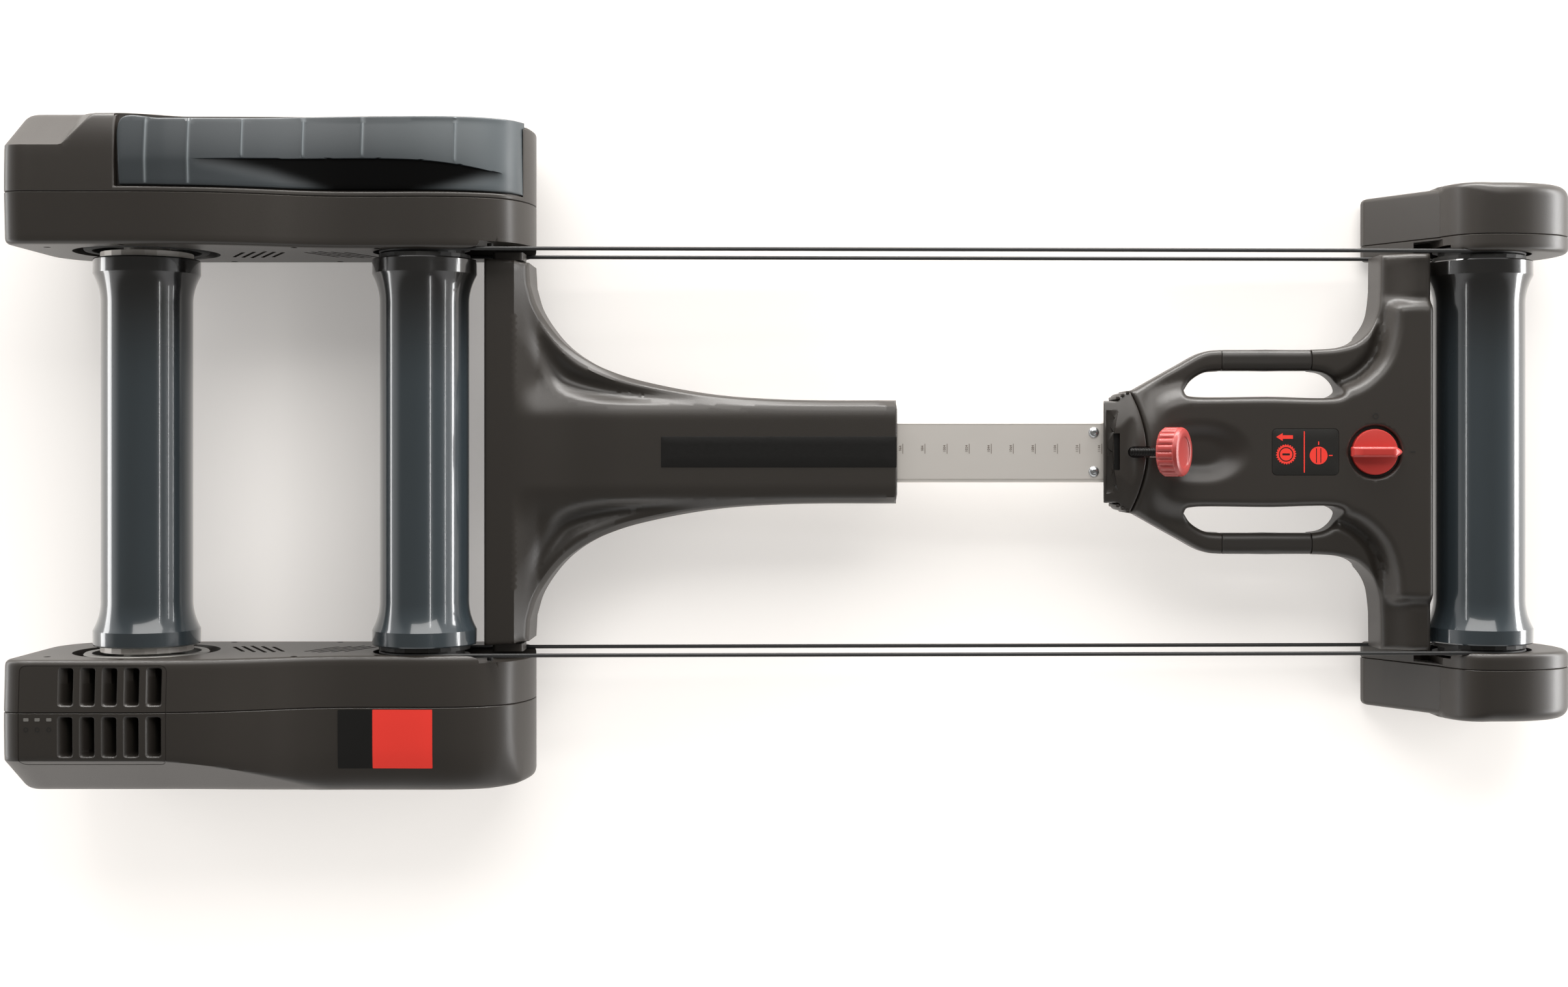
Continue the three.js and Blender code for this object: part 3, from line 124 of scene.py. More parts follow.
def straight(points, step):
    """The polyline through the points, with a point about every step."""
    parts = []
    for a, b in zip(points[:-1], points[1:]):
        a, b = np.array(a, float), np.array(b, float)
        count = max(1, math.ceil(np.linalg.norm(b - a) / step))
        parts.append(a + (b - a) * np.arange(count)[:, None] / count)
    return np.vstack([*parts, np.array([points[-1]], float)])


def loop(*parts):
    """One closed loop of the lines in turn, without doubled points."""
    p = np.vstack(parts)
    far = np.linalg.norm(p - np.roll(p, 1, axis=0), axis=1) > 1e-3
    return p[far]


def rounded(points, radius, step):
    """A closed polygon with round corners."""
    p = np.array(points, float)
    out = []
    for i, r in enumerate(np.broadcast_to(radius, len(p))):
        before, corner, after = p[i - 1], p[i], p[(i + 1) % len(p)]
        a = (before - corner) / np.linalg.norm(before - corner)
        b = (after - corner) / np.linalg.norm(after - corner)
        half = math.acos(np.clip(a @ b, -1, 1)) / 2
        reach = r / math.tan(half)
        middle = corner + (a + b) / np.linalg.norm(a + b) * r / math.sin(half)
        start, end = corner + a * reach - middle, corner + b * reach - middle
        turn = math.atan2(start[0] * end[1] - start[1] * end[0], start @ end)
        count = max(2, math.ceil(abs(turn) * r / step))
        for k in range(count + 1):
            t = turn * k / count
            c, s = math.cos(t), math.sin(t)
            out.append(middle + [start[0] * c - start[1] * s, start[0] * s + start[1] * c])
    return loop(straight([*out, out[0]], step)[:-1])


def rectangle(x0, x1, y0, y1, radius, step=1.5):
    return rounded([(x0, y0), (x1, y0), (x1, y1), (x0, y1)], radius, step)


def circle(x, y, radius, count=96):
    turn = np.arange(count) * 2 * math.pi / count
    return np.column_stack([x + radius * np.cos(turn), y + radius * np.sin(turn)])


def mirrored(half):
    """A closed loop from the half line above the X axis, which runs with X."""
    half = np.array(half)
    return loop(half, (half * [1, -1])[::-1])


def shares(table, x0, length, y0, height):
    """Places given as shares of a length and a height."""
    return [(x0 + u * length, y0 + v * height) for u, v in table]


def nearest(points, loops):
    """Each point's distance to the loops."""
    points = np.atleast_2d(points)
    best = np.full(len(points), np.inf)
    for line in loops:
        a, b = line, np.roll(line, -1, axis=0)
        d = b - a
        size = np.maximum((d**2).sum(1), 1e-12)
        for i in range(0, len(points), BATCH):
            q = points[i : i + BATCH, None, :] - a[None]
            t = np.clip((q * d).sum(2) / size, 0, 1)
            far = ((q - t[..., None] * d) ** 2).sum(2)
            best[i : i + BATCH] = np.minimum(best[i : i + BATCH], far.min(1))
    return np.sqrt(best)


def inside(points, loops):
    """Which points an odd number of the loops hold."""
    points = np.atleast_2d(points)
    crossings = np.zeros(len(points), int)
    for line in loops:
        a, b = line, np.roll(line, -1, axis=0)
        rise = b[:, 1] - a[:, 1]
        rise = np.where(rise == 0, 1e-12, rise)
        for i in range(0, len(points), BATCH):
            x, y = points[i : i + BATCH, 0:1], points[i : i + BATCH, 1:2]
            spans = (a[:, 1] > y) != (b[:, 1] > y)
            at = a[:, 0] + (y - a[:, 1]) / rise * (b[:, 0] - a[:, 0])
            crossings[i : i + BATCH] += (spans & (x < at)).sum(1)
    return crossings % 2 == 1


def beyond(u, v, line):
    """How far each place lies outside a loop, with 0 inside it."""
    flat = np.column_stack([u, v])
    return np.where(inside(flat, [line]), 0, nearest(flat, [line]))


def line_at(table, u):
    """The second number of a table at u, in a straight line between its rows."""
    return np.interp(u, *np.array(table).T)


# Heights of a surface, as functions of place and distance from the edge


def ease(t):
    t = np.clip(t, 0, 1)
    return t * t * (3 - 2 * t)


def soft_min(a, b, width):
    """The smaller of two heights, with their fold rounded over width."""
    h = np.clip(0.5 + 0.5 * (b - a) / width, 0, 1)
    return b + (a - b) * h - width * h * (1 - h)


def round_edge(d, radius):
    """How far a surface falls at distance d inside an edge of that radius."""
    t = np.clip(radius - d, 0, radius)
    return radius - np.sqrt(radius**2 - t**2)


def level(height):
    return lambda u, v, d: np.full(len(u), float(height))


def bevelled(height, size):
    """A level that falls by size at its edge, or rises where size is below 0."""
    return lambda u, v, d: height - np.sign(size) * np.clip(abs(size) - d, 0, abs(size))


def inner_wall(u, v, d):
    """The face that a side box and a pod turn to the drums."""
    return WALL_Y + round_edge(d, INNER_ROUND)


# Meshes


def add_mesh(name, points, faces, sharp=35):
    """A mesh object from points in millimetres, with faces that point out."""
    mesh = bpy.data.meshes.new(name)
    points = np.asarray(points, float) * MM
    mesh.from_pydata(points.tolist(), [], faces)
    mesh.update()
    mesh.validate()
    piece = bpy.data.objects.new(name, mesh)
    bpy.context.scene.collection.objects.link(piece)
    if volume(mesh) < 0:
        mesh.flip_normals()
    smooth(mesh, sharp)
    return piece


def volume(mesh):
    """Six times the mesh's volume, below 0 where its faces point in."""
    mesh.calc_loop_triangles()
    co = np.array([v.co for v in mesh.vertices])
    a, b, c = co[[tuple(t.vertices) for t in mesh.loop_triangles]].transpose(1, 0, 2)
    return float((a * np.cross(b, c)).sum())


def smooth(mesh, angle):
    mesh.polygons.foreach_set("use_smooth", [True] * len(mesh.polygons))
    mesh.set_sharp_from_angle(angle=math.radians(angle))


def rim_points(loops, rings):
    """Points at each ring's distance inside the loops."""
    out = []
    for distance in rings:
        for line in loops:
            along = np.roll(line, -1, axis=0) - np.roll(line, 1, axis=0)
            normal = np.stack([-along[:, 1], along[:, 0]], 1)
            normal /= np.linalg.norm(normal, axis=1)[:, None]
            for way in (1, -1):
                moved = line + way * distance * normal
                out.append(moved[inside(moved, loops) & (nearest(moved, loops) > 0.93 * distance)])
    return out


def grid_points(loops, cell, margin):
    """A staggered grid inside the loops, clear of them by the margin."""
    low, high = loops[0].min(0), loops[0].max(0)
    ys = np.arange(low[1], high[1], cell * 0.87)
    xs = np.arange(low[0], high[0], cell)
    grid = np.array([(x + (j % 2) * cell / 2, y) for j, y in enumerate(ys) for x in xs])
    grid = grid[inside(grid, loops)]
    return grid[nearest(grid, loops) > margin]


def filled(loops, creases, rings, cell):
    """The triangles between the loops: their points, faces, and the new number of each old point."""
    points, edges = [], []
    for line in loops:
        first, count = len(points), len(line)
        points.extend(line.tolist())
        edges.extend((first + i, first + (i + 1) % count) for i in range(count))
    for line in creases:
        first = len(points)
        points.extend(line.tolist())
        edges.extend((first + i, first + i + 1) for i in range(len(line) - 1))
    margin = max(rings, default=0) + cell * 0.45
    extra = np.vstack([*rim_points(loops, rings), grid_points(loops, cell, margin)])
    if creases and len(extra):
        there_and_back = [np.vstack([line, line[::-1]]) for line in creases]
        extra = extra[nearest(extra, there_and_back) > cell * 0.3]
    points.extend(extra.tolist())
    made = geometry.delaunay_2d_cdt([Vector(p) for p in points], edges, [], 0, 1e-5, True)
    flat = np.array([tuple(v) for v in made[0]])
    faces = np.array([f for f in made[2] if len(f) == 3])
    faces = faces[inside(flat[faces].mean(1), loops)]
    return flat, faces, {old: i for i, olds in enumerate(made[3]) for old in olds}


def relief(name, outline, top, bottom, plane="xy", side=1, holes=(), rings=(), cell=4.0,
           lines=(), rows=1, shape=None, sharp=35):
    """A closed solid over an outline, between two heights that are functions of place and edge distance.

    rings are distances from the edge, and lines are creases, where the mesh gets points of its own.
    """
    loops = [np.asarray(line, float) for line in (outline, *holes)]
    creases = [np.asarray(line, float) for line in lines]
    flat, faces, new_of = filled(loops, creases, rings, cell)
    starts = np.cumsum([0] + [len(line) for line in loops])
    rims = [np.array([new_of[i] for i in range(a, b)]) for a, b in zip(starts[:-1], starts[1:])]
    d = nearest(flat, loops)
    d[np.concatenate(rims)] = 0
    u, v = flat[:, 0], flat[:, 1]
    high, low = top(u, v, d), bottom(u, v, d)
    count = len(flat)
    total = 2 * count
    solid = [np.column_stack([u, v, high]), np.column_stack([u, v, low])]
    polygons = [tuple(f) for f in faces] + [tuple(f[::-1] + count) for f in faces]
    for ids in rims:
        levels = [ids]
        for t in np.arange(1, rows) / rows:
            solid.append(np.column_stack([u[ids], v[ids], high[ids] * (1 - t) + low[ids] * t]))
            levels.append(np.arange(total, total + len(ids)))
            total += len(ids)
        levels.append(ids + count)
        for a, b in zip(levels[:-1], levels[1:]):
            a2, b2 = np.roll(a, -1), np.roll(b, -1)
            polygons.extend(zip(a, b, b2, a2) if shoelace(flat[ids]) > 0 else zip(a, a2, b2, b))
    solid = np.vstack(solid)
    if plane == "xz":
        solid = solid[:, [0, 2, 1]] * [1, side, 1]
    if shape:
        solid = shape(solid)
    return add_mesh(name, solid, [tuple(int(i) for i in f) for f in polygons], sharp)


def shoelace(p):
    q = np.roll(p, -1, axis=0)
    return float((p[:, 0] * q[:, 1] - q[:, 0] * p[:, 1]).sum()) / 2


def prism(name, outline, a, b, plane="xy", holes=(), cell=20):
    """A straight solid over an outline, from one height to the other."""
    return relief(name, outline, level(max(a, b)), level(min(a, b)), plane, holes=holes, cell=cell)


def turned(name, profile, centre, axis="y", segments=96, sharp=30, ripple=None):
    """A lathe of a closed profile of (radius, along) about an axis through centre."""
    profile = np.array(profile, float)
    along = profile[:, 1]
    points = []
    for angle in np.arange(segments) * 2 * math.pi / segments:
        radius = profile[:, 0] if ripple is None else ripple(profile, angle)
        across, up = radius * math.cos(angle), radius * math.sin(angle)
        order = {"x": (along, across, up), "y": (across, along, up), "z": (across, up, along)}[axis]
        points.append(np.stack(order, 1))
    points = np.vstack(points) + np.array(centre, float)
    n = len(profile)
    on_axis = profile[:, 0] < AXIS_RADIUS
    faces = []
    for i in range(segments):
        a, b = i * n, (i + 1) % segments * n
        for k in range(n):
            after = (k + 1) % n
            if not (on_axis[k] and on_axis[after]):
                faces.append((a + k, a + after, b + after, b + k))
    piece = add_mesh(name, points, faces, sharp)
    if on_axis.any():
        weld(piece)
        smooth(piece.data, sharp)
    return piece


def weld(piece):
    """Joins points that are in one place."""
    mesh = bmesh.new()
    mesh.from_mesh(piece.data)
    bmesh.ops.remove_doubles(mesh, verts=mesh.verts, dist=2 * AXIS_RADIUS * MM)
    mesh.to_mesh(piece.data)
    mesh.free()


def lofted(name, sections, sharp=30):
    """Sections of the same number of points, joined one to the next, with flat ends."""
    n, last = len(sections[0]), len(sections) - 1
    faces = []
    for i in range(last):
        for k in range(n):
            a, b = i * n + k, i * n + (k + 1) % n
            faces.append((a, b, b + n, a + n))
    faces.append(tuple(range(n))[::-1])
    faces.append(tuple(range(last * n, (last + 1) * n)))
    return add_mesh(name, np.vstack(sections), faces, sharp)


def bar_along_x(name, section, x0, x1, sharp=30):
    return lofted(name, [np.column_stack([np.full(len(section), x), section]) for x in (x0, x1)], sharp)


def swept(name, path, radius, sides=12):
    """A round closed cord along a closed path in a plane of constant Y."""
    along = np.roll(path, -1, axis=0) - np.roll(path, 1, axis=0)
    along /= np.linalg.norm(along, axis=1)[:, None]
    across = np.array([0, 1, 0])
    out = np.cross(along, across)
    angles = np.arange(sides) * 2 * math.pi / sides
    ring = [(math.cos(t), math.sin(t)) for t in angles]
    points = [p + radius * (c * o + s * across) for p, o in zip(path, out) for c, s in ring]
    faces = []
    for i in range(len(path)):
        here, there = i * sides, (i + 1) % len(path) * sides
        for k in range(sides):
            after = (k + 1) % sides
            faces.append((here + k, here + after, there + after, there + k))
    return add_mesh(name, points, faces, 60)


def block(x0, x1, y0, y1, z0, z1, name="cutter"):
    corners = [(x, y, z) for x in (x0, x1) for y in (y0, y1) for z in (z0, z1)]
    faces = [(0, 1, 3, 2), (4, 6, 7, 5), (0, 4, 5, 1), (2, 3, 7, 6), (0, 2, 6, 4), (1, 5, 7, 3)]
    return add_mesh(name, corners, faces)


def joined(pieces, name=None, sharp=35):
    """One object of all the pieces' meshes."""
    base = pieces[0]
    points, faces = [], []
    for piece in pieces:
        start = len(points)
        points.extend(tuple(v.co) for v in piece.data.vertices)
        faces.extend(tuple(start + i for i in p.vertices) for p in piece.data.polygons)
    mesh = bpy.data.meshes.new(name or base.name)
    mesh.from_pydata(points, [], faces)
    smooth(mesh, sharp)
    for piece in pieces[1:]:
        bpy.data.objects.remove(piece)
    base.data = mesh
    base.name = name or base.name
    return base


def carve(piece, cutters, sharp=35):
    """Cuts the cutters out of the piece and removes them."""
    cutter = joined(cutters, "cutter")
    change = piece.modifiers.new("carve", "BOOLEAN")
    change.operation = "DIFFERENCE"
    change.solver = "EXACT"
    change.object = cutter
    bpy.context.view_layer.update()
    graph = bpy.context.evaluated_depsgraph_get()
    made = bpy.data.meshes.new_from_object(piece.evaluated_get(graph))
    piece.modifiers.clear()
    piece.data = made
    bpy.data.objects.remove(cutter)
    smooth(made, sharp)
    return piece


def place(piece, body, slot_name, *replaced, look=None):
    """Gives a piece its looks, hangs it on the body that carries it, and hides the frame's parts that it
    stands for.
    """
    piece.data.materials.clear()
    piece.data.materials.append(LOOKS[look or slot_name])
    if body:
        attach(piece, body)
    if replaced:
        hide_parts(*replaced)
    return piece


def surface_of(*pieces):
    """The height of the pieces' upper surface, as a function of places in plan."""
    trees = []
    for piece in pieces:
        points = [v.co / MM for v in piece.data.vertices]
        faces = [tuple(p.vertices) for p in piece.data.polygons]
        trees.append(BVHTree.FromPolygons(points, faces))

    def height(u, v):
        out = []
        for x, y in zip(u, v):
            hits = [tree.ray_cast(Vector((x, y, ABOVE_ALL)), Vector((0, 0, -1)))[0] for tree in trees]
            out.append(max([hit.z for hit in hits if hit is not None], default=0.0))
        return np.array(out)

    return height


def written(name, text, where, cap_height, thick=0.12):
    """Thin raised numerals that lie flat, centred on where and read along Y."""
    curve = bpy.data.curves.new("numerals", "FONT")
    curve.body = text
    curve.size = 1.0
    curve.extrude = 0.02
    curve.resolution_u = 3
    holder = bpy.data.objects.new("numerals", curve)
    bpy.context.scene.collection.objects.link(holder)
    bpy.context.view_layer.update()
    graph = bpy.context.evaluated_depsgraph_get()
    mesh = bpy.data.meshes.new_from_object(holder.evaluated_get(graph))
    bpy.data.objects.remove(holder)
    co = np.array([v.co for v in mesh.vertices])
    low, high = co.min(0), co.max(0)
    size = cap_height / (high[1] - low[1])
    co = (co - (low + high) / 2) * [size, size, thick / (high[2] - low[2])]
    co = np.column_stack([-co[:, 1], co[:, 0], co[:, 2]]) + where
    piece = add_mesh(name, co, [tuple(p.vertices) for p in mesh.polygons])
    weld(piece)
    return piece


# Materials


def linear(rgb):
    """sRGB numbers from 0 to 255 as linear colour."""
    out = []
    for c in rgb:
        c /= 255
        out.append(c / 12.92 if c <= 0.04045 else ((c + 0.055) / 1.055) ** 2.4)
    return (*out, 1.0)


def feed(tree, node, inputs):
    """Sets a node's inputs: an output of another node is linked, and the rest are values."""
    for key, value in inputs.items():
        if isinstance(value, bpy.types.NodeSocket):
            tree.links.new(value, node.inputs[key])
        else:
            node.inputs[key].default_value = value


def add_node(tree, kind, inputs=None, **settings):
    node = tree.nodes.new(kind)
    for key, value in settings.items():
        setattr(node, key, value)
    feed(tree, node, inputs or {})
    return node


def mixed(tree, share, first, second):
    """The colour between two colours at a share."""
    return add_node(tree, "ShaderNodeMix", {0: share, 6: first, 7: second}, data_type="RGBA").outputs[2]


MOTTLE_SCALE = 14
BUMP_HEIGHT = 0.0003


def finish(name, colour, roughness, grain=(900, 0.12), mottle=0.1, metallic=0.0, coat=0.0,
           coat_roughness=0.1, stretch=(1, 1, 1), rough_spread=0.06):
    """A moulded, painted or metal surface with fine grain and slight unevenness of colour and gloss."""
    mat = bpy.data.materials.new(name)
    mat.use_nodes = True
    tree = mat.node_tree
    where = add_node(tree, "ShaderNodeTexCoord").outputs["Object"]
    mapping = add_node(tree, "ShaderNodeMapping", {"Vector": where, "Scale": stretch}).outputs["Vector"]
    broad = add_node(tree, "ShaderNodeTexNoise", {"Vector": mapping, "Scale": MOTTLE_SCALE, "Detail": 4})
    fine = add_node(tree, "ShaderNodeTexNoise", {"Vector": mapping, "Scale": grain[0], "Detail": 3})
    base = linear(colour)[:3]
    dark = (*(c * (1 - mottle) for c in base), 1)
    light = (*(min(1, c * (1 + mottle)) for c in base), 1)
    low, high = max(0.02, roughness - rough_spread), min(1, roughness + rough_spread)
    rough = {"Value": fine.outputs["Fac"], "To Min": low, "To Max": high}
    bump = {"Height": fine.outputs["Fac"], "Strength": grain[1], "Distance": BUMP_HEIGHT}
    feed(tree, tree.nodes["Principled BSDF"], {
        "Base Color": mixed(tree, broad.outputs["Fac"], dark, light),
        "Roughness": add_node(tree, "ShaderNodeMapRange", rough).outputs["Result"],
        "Normal": add_node(tree, "ShaderNodeBump", bump).outputs["Normal"],
        "Metallic": metallic,
        "Coat Weight": coat,
        "Coat Roughness": coat_roughness,
    })
    return mat


def pad_finish():
    """The step pad's plastic, with painted shade that turns its hollow black, a painted highlight on its
    ribs, and a lighter tone towards its nose.
    """
    mat = finish("pad_plastic", (54, 59, 62), 0.42, (1000, 0.1), 0.05)
    tree = mat.node_tree
    shader = tree.nodes["Principled BSDF"]
    shade = add_node(tree, "ShaderNodeVertexColor", layer_name="shade").outputs["Color"]
    parts = add_node(tree, "ShaderNodeSeparateColor", {"Color": shade}).outputs
    colour = shader.inputs["Base Color"].links[0].from_socket
    # Lighter tone towards the nose (blue), painted highlight on the ribs (green), painted shade in the hollow
    # (red), where the gloss is also lowered.
    for channel, rgb in (("Blue", (76, 82, 85)), ("Green", (106, 112, 115)), ("Red", (6, 6, 6))):
        colour = mixed(tree, parts[channel], colour, linear(rgb))
    dull = add_node(tree, "ShaderNodeMath", {0: parts["Red"], 1: -0.42, 2: 0.5}, operation="MULTIPLY_ADD")
    feed(tree, shader, {"Base Color": colour, "Specular IOR Level": dull.outputs[0]})
    return mat


# Where along Y the painted dark reflection by the left wall sets in, in metres.
DRUM_SHADE_SPAN = (0.05, 0.165)


def drum_finish():
    """The drums' gloss, blue-grey along most of a drum, with a painted dark reflection of the left box's wall
    that turns it nearly black at its left end.
    """
    mat = finish("drum_gloss", (47, 54, 58), 0.2, (260, 0.02), 0.04, coat=0.8, coat_roughness=0.05,
                 rough_spread=0.02)
    tree = mat.node_tree
    shader = tree.nodes["Principled BSDF"]
    where = tree.nodes["Texture Coordinate"].outputs["Object"]
    # Painted reflection: the colour darkens along Y towards the left box's wall.
    start, end = DRUM_SHADE_SPAN
    ramp = {
        "Value": add_node(tree, "ShaderNodeSeparateXYZ", {"Vector": where}).outputs["Y"],
        "From Min": start,
        "From Max": end,
    }
    along = add_node(tree, "ShaderNodeMapRange", ramp, interpolation_type="SMOOTHSTEP").outputs["Result"]
    colour = shader.inputs["Base Color"].links[0].from_socket
    feed(tree, shader, {"Base Color": mixed(tree, along, colour, linear((20, 19, 18)))})
    return mat


LOOKS = {
    "shell": finish("shell_plastic", (48, 44, 40), 0.38, (1100, 0.12), 0.06),
    "drum": drum_finish(),
    "dark_plastic": finish("dark_plastic", (30, 29, 27), 0.5, (900, 0.12)),
    "steel": finish("zinc_steel", (196, 198, 200), 0.26, (500, 0.05), 0.05, 1.0, rough_spread=0.05),
    "hub_steel": finish("hub_steel", (120, 119, 116), 0.42, (500, 0.05), 0.05, 0.7, rough_spread=0.05),
    "black_steel": finish("black_steel", (34, 33, 32), 0.4, (500, 0.06), 0.05, 0.6, rough_spread=0.05),
    "aluminium": finish("satin_aluminium", (212, 207, 201), 0.42, (240, 0.05), 0.02, 0.35,
                        stretch=(0.12, 1, 1), rough_spread=0.05),
    "iron": finish("painted_iron", (75, 77, 80), 0.5, (350, 0.25), 0.12, 0.6),
    "pad": pad_finish(),
    "rubber": finish("rubber", (25, 25, 25), 0.8, (600, 0.3)),
    "belt": finish("belt_cord", (30, 30, 30), 0.55, (1200, 0.2)),
    "knob_red": finish("knob_red", (158, 58, 54), 0.36, (800, 0.06), 0.05),
    "dial_red": finish("dial_red", (182, 54, 48), 0.36, (800, 0.06), 0.05),
    "grip": finish("grip_soft", (47, 44, 41), 0.42, (1300, 0.16), 0.06),
    "label": finish("label_film", (34, 33, 31), 0.34, (500, 0.04)),
    "board_green": finish("board_green", (31, 90, 54), 0.45, (300, 0.1)),
    "mark_red": finish("mark_red", (250, 62, 50), 0.45, (700, 0.04), 0.04),
    "ink": finish("ink_brown", (98, 84, 74), 0.6, (700, 0.02), 0.03),
    "black_strip": finish("black_strip", (17, 16, 15), 0.34, (500, 0.03), 0.05),
    "lamp_lens": finish("lamp_lens", (120, 118, 114), 0.3, (500, 0.03), 0.05),
}


# Shells of the side boxes

BOX_REAR = [(0.13, 0), (0.075, 0.03), (0.03, 0.12), (0.004, 0.26), (0, 0.36), (0, 0.64), (0, 0.92)]
BOX_OVER = [
    (0.008, 0.97), (0.03, 0.998), (0.07, 1), (0.12, 1), (0.3, 0.995), (0.4, 0.962), (0.493, 0.895),
    (0.56, 0.835), (0.627, 0.8), (0.72, 0.794), (0.811, 0.798), (0.87, 0.785), (0.918, 0.75),
    (0.96, 0.68), (0.985, 0.57),
]
BOX_NOSE = [(1, 0.4), (0.988, 0.2), (0.955, 0.06), (0.91, 0)]
OUTER_CURVE = np.array([
    (0, 238), (0.08, 246), (0.18, 254), (0.3, 262), (0.6, 268), (1.2, 274.5), (2, 279.6), (3, 284),
    (4.2, 287.4), (5.6, 290.4), (7.2, 293), (9, 295.2), (12, 298), (15.5, 300), (19.5, 301.4), (24, 302),
])
END_CURVE = np.array([
    (0, 290), (0.4, 292.5), (1, 294.6), (2.2, 297.1), (3.6, 298.9), (5.6, 300.4), (8, 301.4), (11, 302),
    (15, 302),
])
TOP_CURVE_FROM = (108.0, 158.0)
NOSE_TAPER = (80.0, 7.0)
INNER_ROUND = 5.0
CROWN_DROP = 3.0
FACET_DROP = 57.0
LEFT_FACET = (37.0, 53.0, 92.0)
RIGHT_FACET = (35.5, 126.0, 372.0)
OUTER_LEAN = 0.16
LEAN_FROM_Z = 120.0
PAD_TUCK = 3.2
BOX_BEVEL = 0.7


def box_outline(step=2.5):
    over = spline(shares([*BOX_REAR, *BOX_OVER, *BOX_NOSE], REAR_X, BOX_LENGTH, BOX_BOTTOM, BOX_HEIGHT), step)
    outline = loop(over, straight([over[-1], over[0]], 4 * step)[1:-1])
    outline[:, 0] = np.maximum(outline[:, 0], REAR_X)
    return outline


def top_line():
    """A side box's top in profile, from the rear to the nose."""
    line = spline(shares([(0, 0.92), *BOX_OVER, (1, 0.4)], REAR_X, BOX_LENGTH, BOX_BOTTOM, BOX_HEIGHT), 1)
    return line[np.argsort(line[:, 0])]


BOX_LOOP = box_outline()
TOP_LINE = top_line()


def box_top(x):
    """Height of a side box's top at x."""
    return line_at(TOP_LINE, x)


def crowned(points):
    """The top falls a little from the seam towards the inner wall."""
    out = points.copy()
    depth = np.clip((SEAM_Y - np.abs(points[:, 1])) / (SEAM_Y - WALL_Y), 0, 1)
    rise = np.clip((points[:, 2] - BOX_MIDDLE_Z) / (BOX_HEIGHT / 2), 0, 1)
    out[:, 2] -= CROWN_DROP * depth * rise
    return out


def inner_shell(name, side):
    return relief(name, BOX_LOOP, bevelled(SEAM_Y, BOX_BEVEL), inner_wall, "xz", side,
                  rings=[0.35, 0.7, 1.6, 2.8, 3.9, 5], cell=7, rows=10, shape=crowned)


def outer_face(side):
    """How far out a side box reaches, with the sloping corner of its rear end."""
    width, near, far = LEFT_FACET if side == 1 else RIGHT_FACET

    def reach(u, v, d):
        top = ease((v - np.clip(box_top(u) - 24, *TOP_CURVE_FROM)) / 22)
        curve = np.interp(d, *OUTER_CURVE.T) * top + np.interp(d, *END_CURVE.T) * (1 - top)
        run, drop = NOSE_TAPER
        taper = drop * np.clip((u - REAR_X - BOX_LENGTH + run) / run, 0, 1) ** 3
        limit = OUTER_Y + 0.4 - taper - OUTER_LEAN * np.maximum(0, v - LEAN_FROM_Z)
        slide = (u - REAR_X - near) / (far - near)
        if side == 1:
            limit = limit - PAD_TUCK * ease((u - REAR_X - 100) / 60)
            slide = np.clip(slide, 0, 1.4)
        else:
            slide = 1.15 * ease(slide)
        facet = OUTER_Y - width + width * (box_top(u) - v) / FACET_DROP + width * slide
        return soft_min(soft_min(curve, limit, 3.0), facet, 3.5)

    return reach


def outer_shell(name, side):
    return relief(name, BOX_LOOP, outer_face(side), bevelled(SEAM_Y + SEAM_GAP, -BOX_BEVEL), "xz", side,
                  rings=[*OUTER_CURVE[1:, 0]], cell=4.5, rows=4)


# Recesses, slots and screws of the inner walls

WALL_DEPTH = 7.0
CUT_START = 2.0
REAR_RECESS = 64.0
MID_RECESS = 46.0
BELT_CHANNEL = 41.2
CHANNEL_LENGTH = 120.0
CHANNEL_TURN = 1.93
MOUTH_X = (-276.0, -240.0)
MOUTH_Z = (132.0, 200.0)
MOUTH_DEPTHS = (-3.0, 10.0)
LOUVRES = ((-500, 64), (-424, 116))
LOUVRE_Z = 84.0
LOUVRE_STEP = 9.0
LOUVRE_LENGTH = 66.0
LOUVRE_WIDTH = 3.4
LOUVRE_DEPTH = 2.5
SCREW_PLACES = ((-596, 171), (-668, 150), (-452, 146), (-380, 138), (-282, 126), (-540, 20), (-440, 20))
SCREW_HOLE = 3.2
SCREW_DEPTH = 6.0
SCREW_HEAD_DEPTH = 2.6


def slot_cutter(x, z, length, width, angle, y0, y1):
    """A slot with round ends, sunk into a side wall."""
    line = rectangle(-length / 2, length / 2, -width / 2, width / 2, width / 2 - 0.01, 1)
    c, s = math.cos(math.radians(angle)), math.sin(math.radians(angle))
    leaning = np.stack([x + line[:, 0] * c - line[:, 1] * s, z + line[:, 0] * s + line[:, 1] * c], 1)
    return prism("cutter", leaning, y0, y1, "xz")


def wall_cutters(side):
    """What is sunk into an inner wall: the belt's channel and the rear drum's recess."""
    low, high = AXLE_Z - BELT_CHANNEL, AXLE_Z + BELT_CHANNEL
    mouth = MID_AXLE_X + CHANNEL_LENGTH
    turn = np.linspace(CHANNEL_TURN, 2 * math.pi - CHANNEL_TURN, 48)
    channel = loop(
        straight([(MID_AXLE_X, low), (mouth, low), (mouth, high), (MID_AXLE_X, high)], 6),
        np.column_stack([MID_AXLE_X + MID_RECESS * np.cos(turn), AXLE_Z + MID_RECESS * np.sin(turn)]),
    )
    return [prism("cutter", line, side * (WALL_Y - CUT_START), side * (WALL_Y + WALL_DEPTH), "xz", cell=30)
            for line in (channel, circle(REAR_AXLE_X, AXLE_Z, REAR_RECESS))]


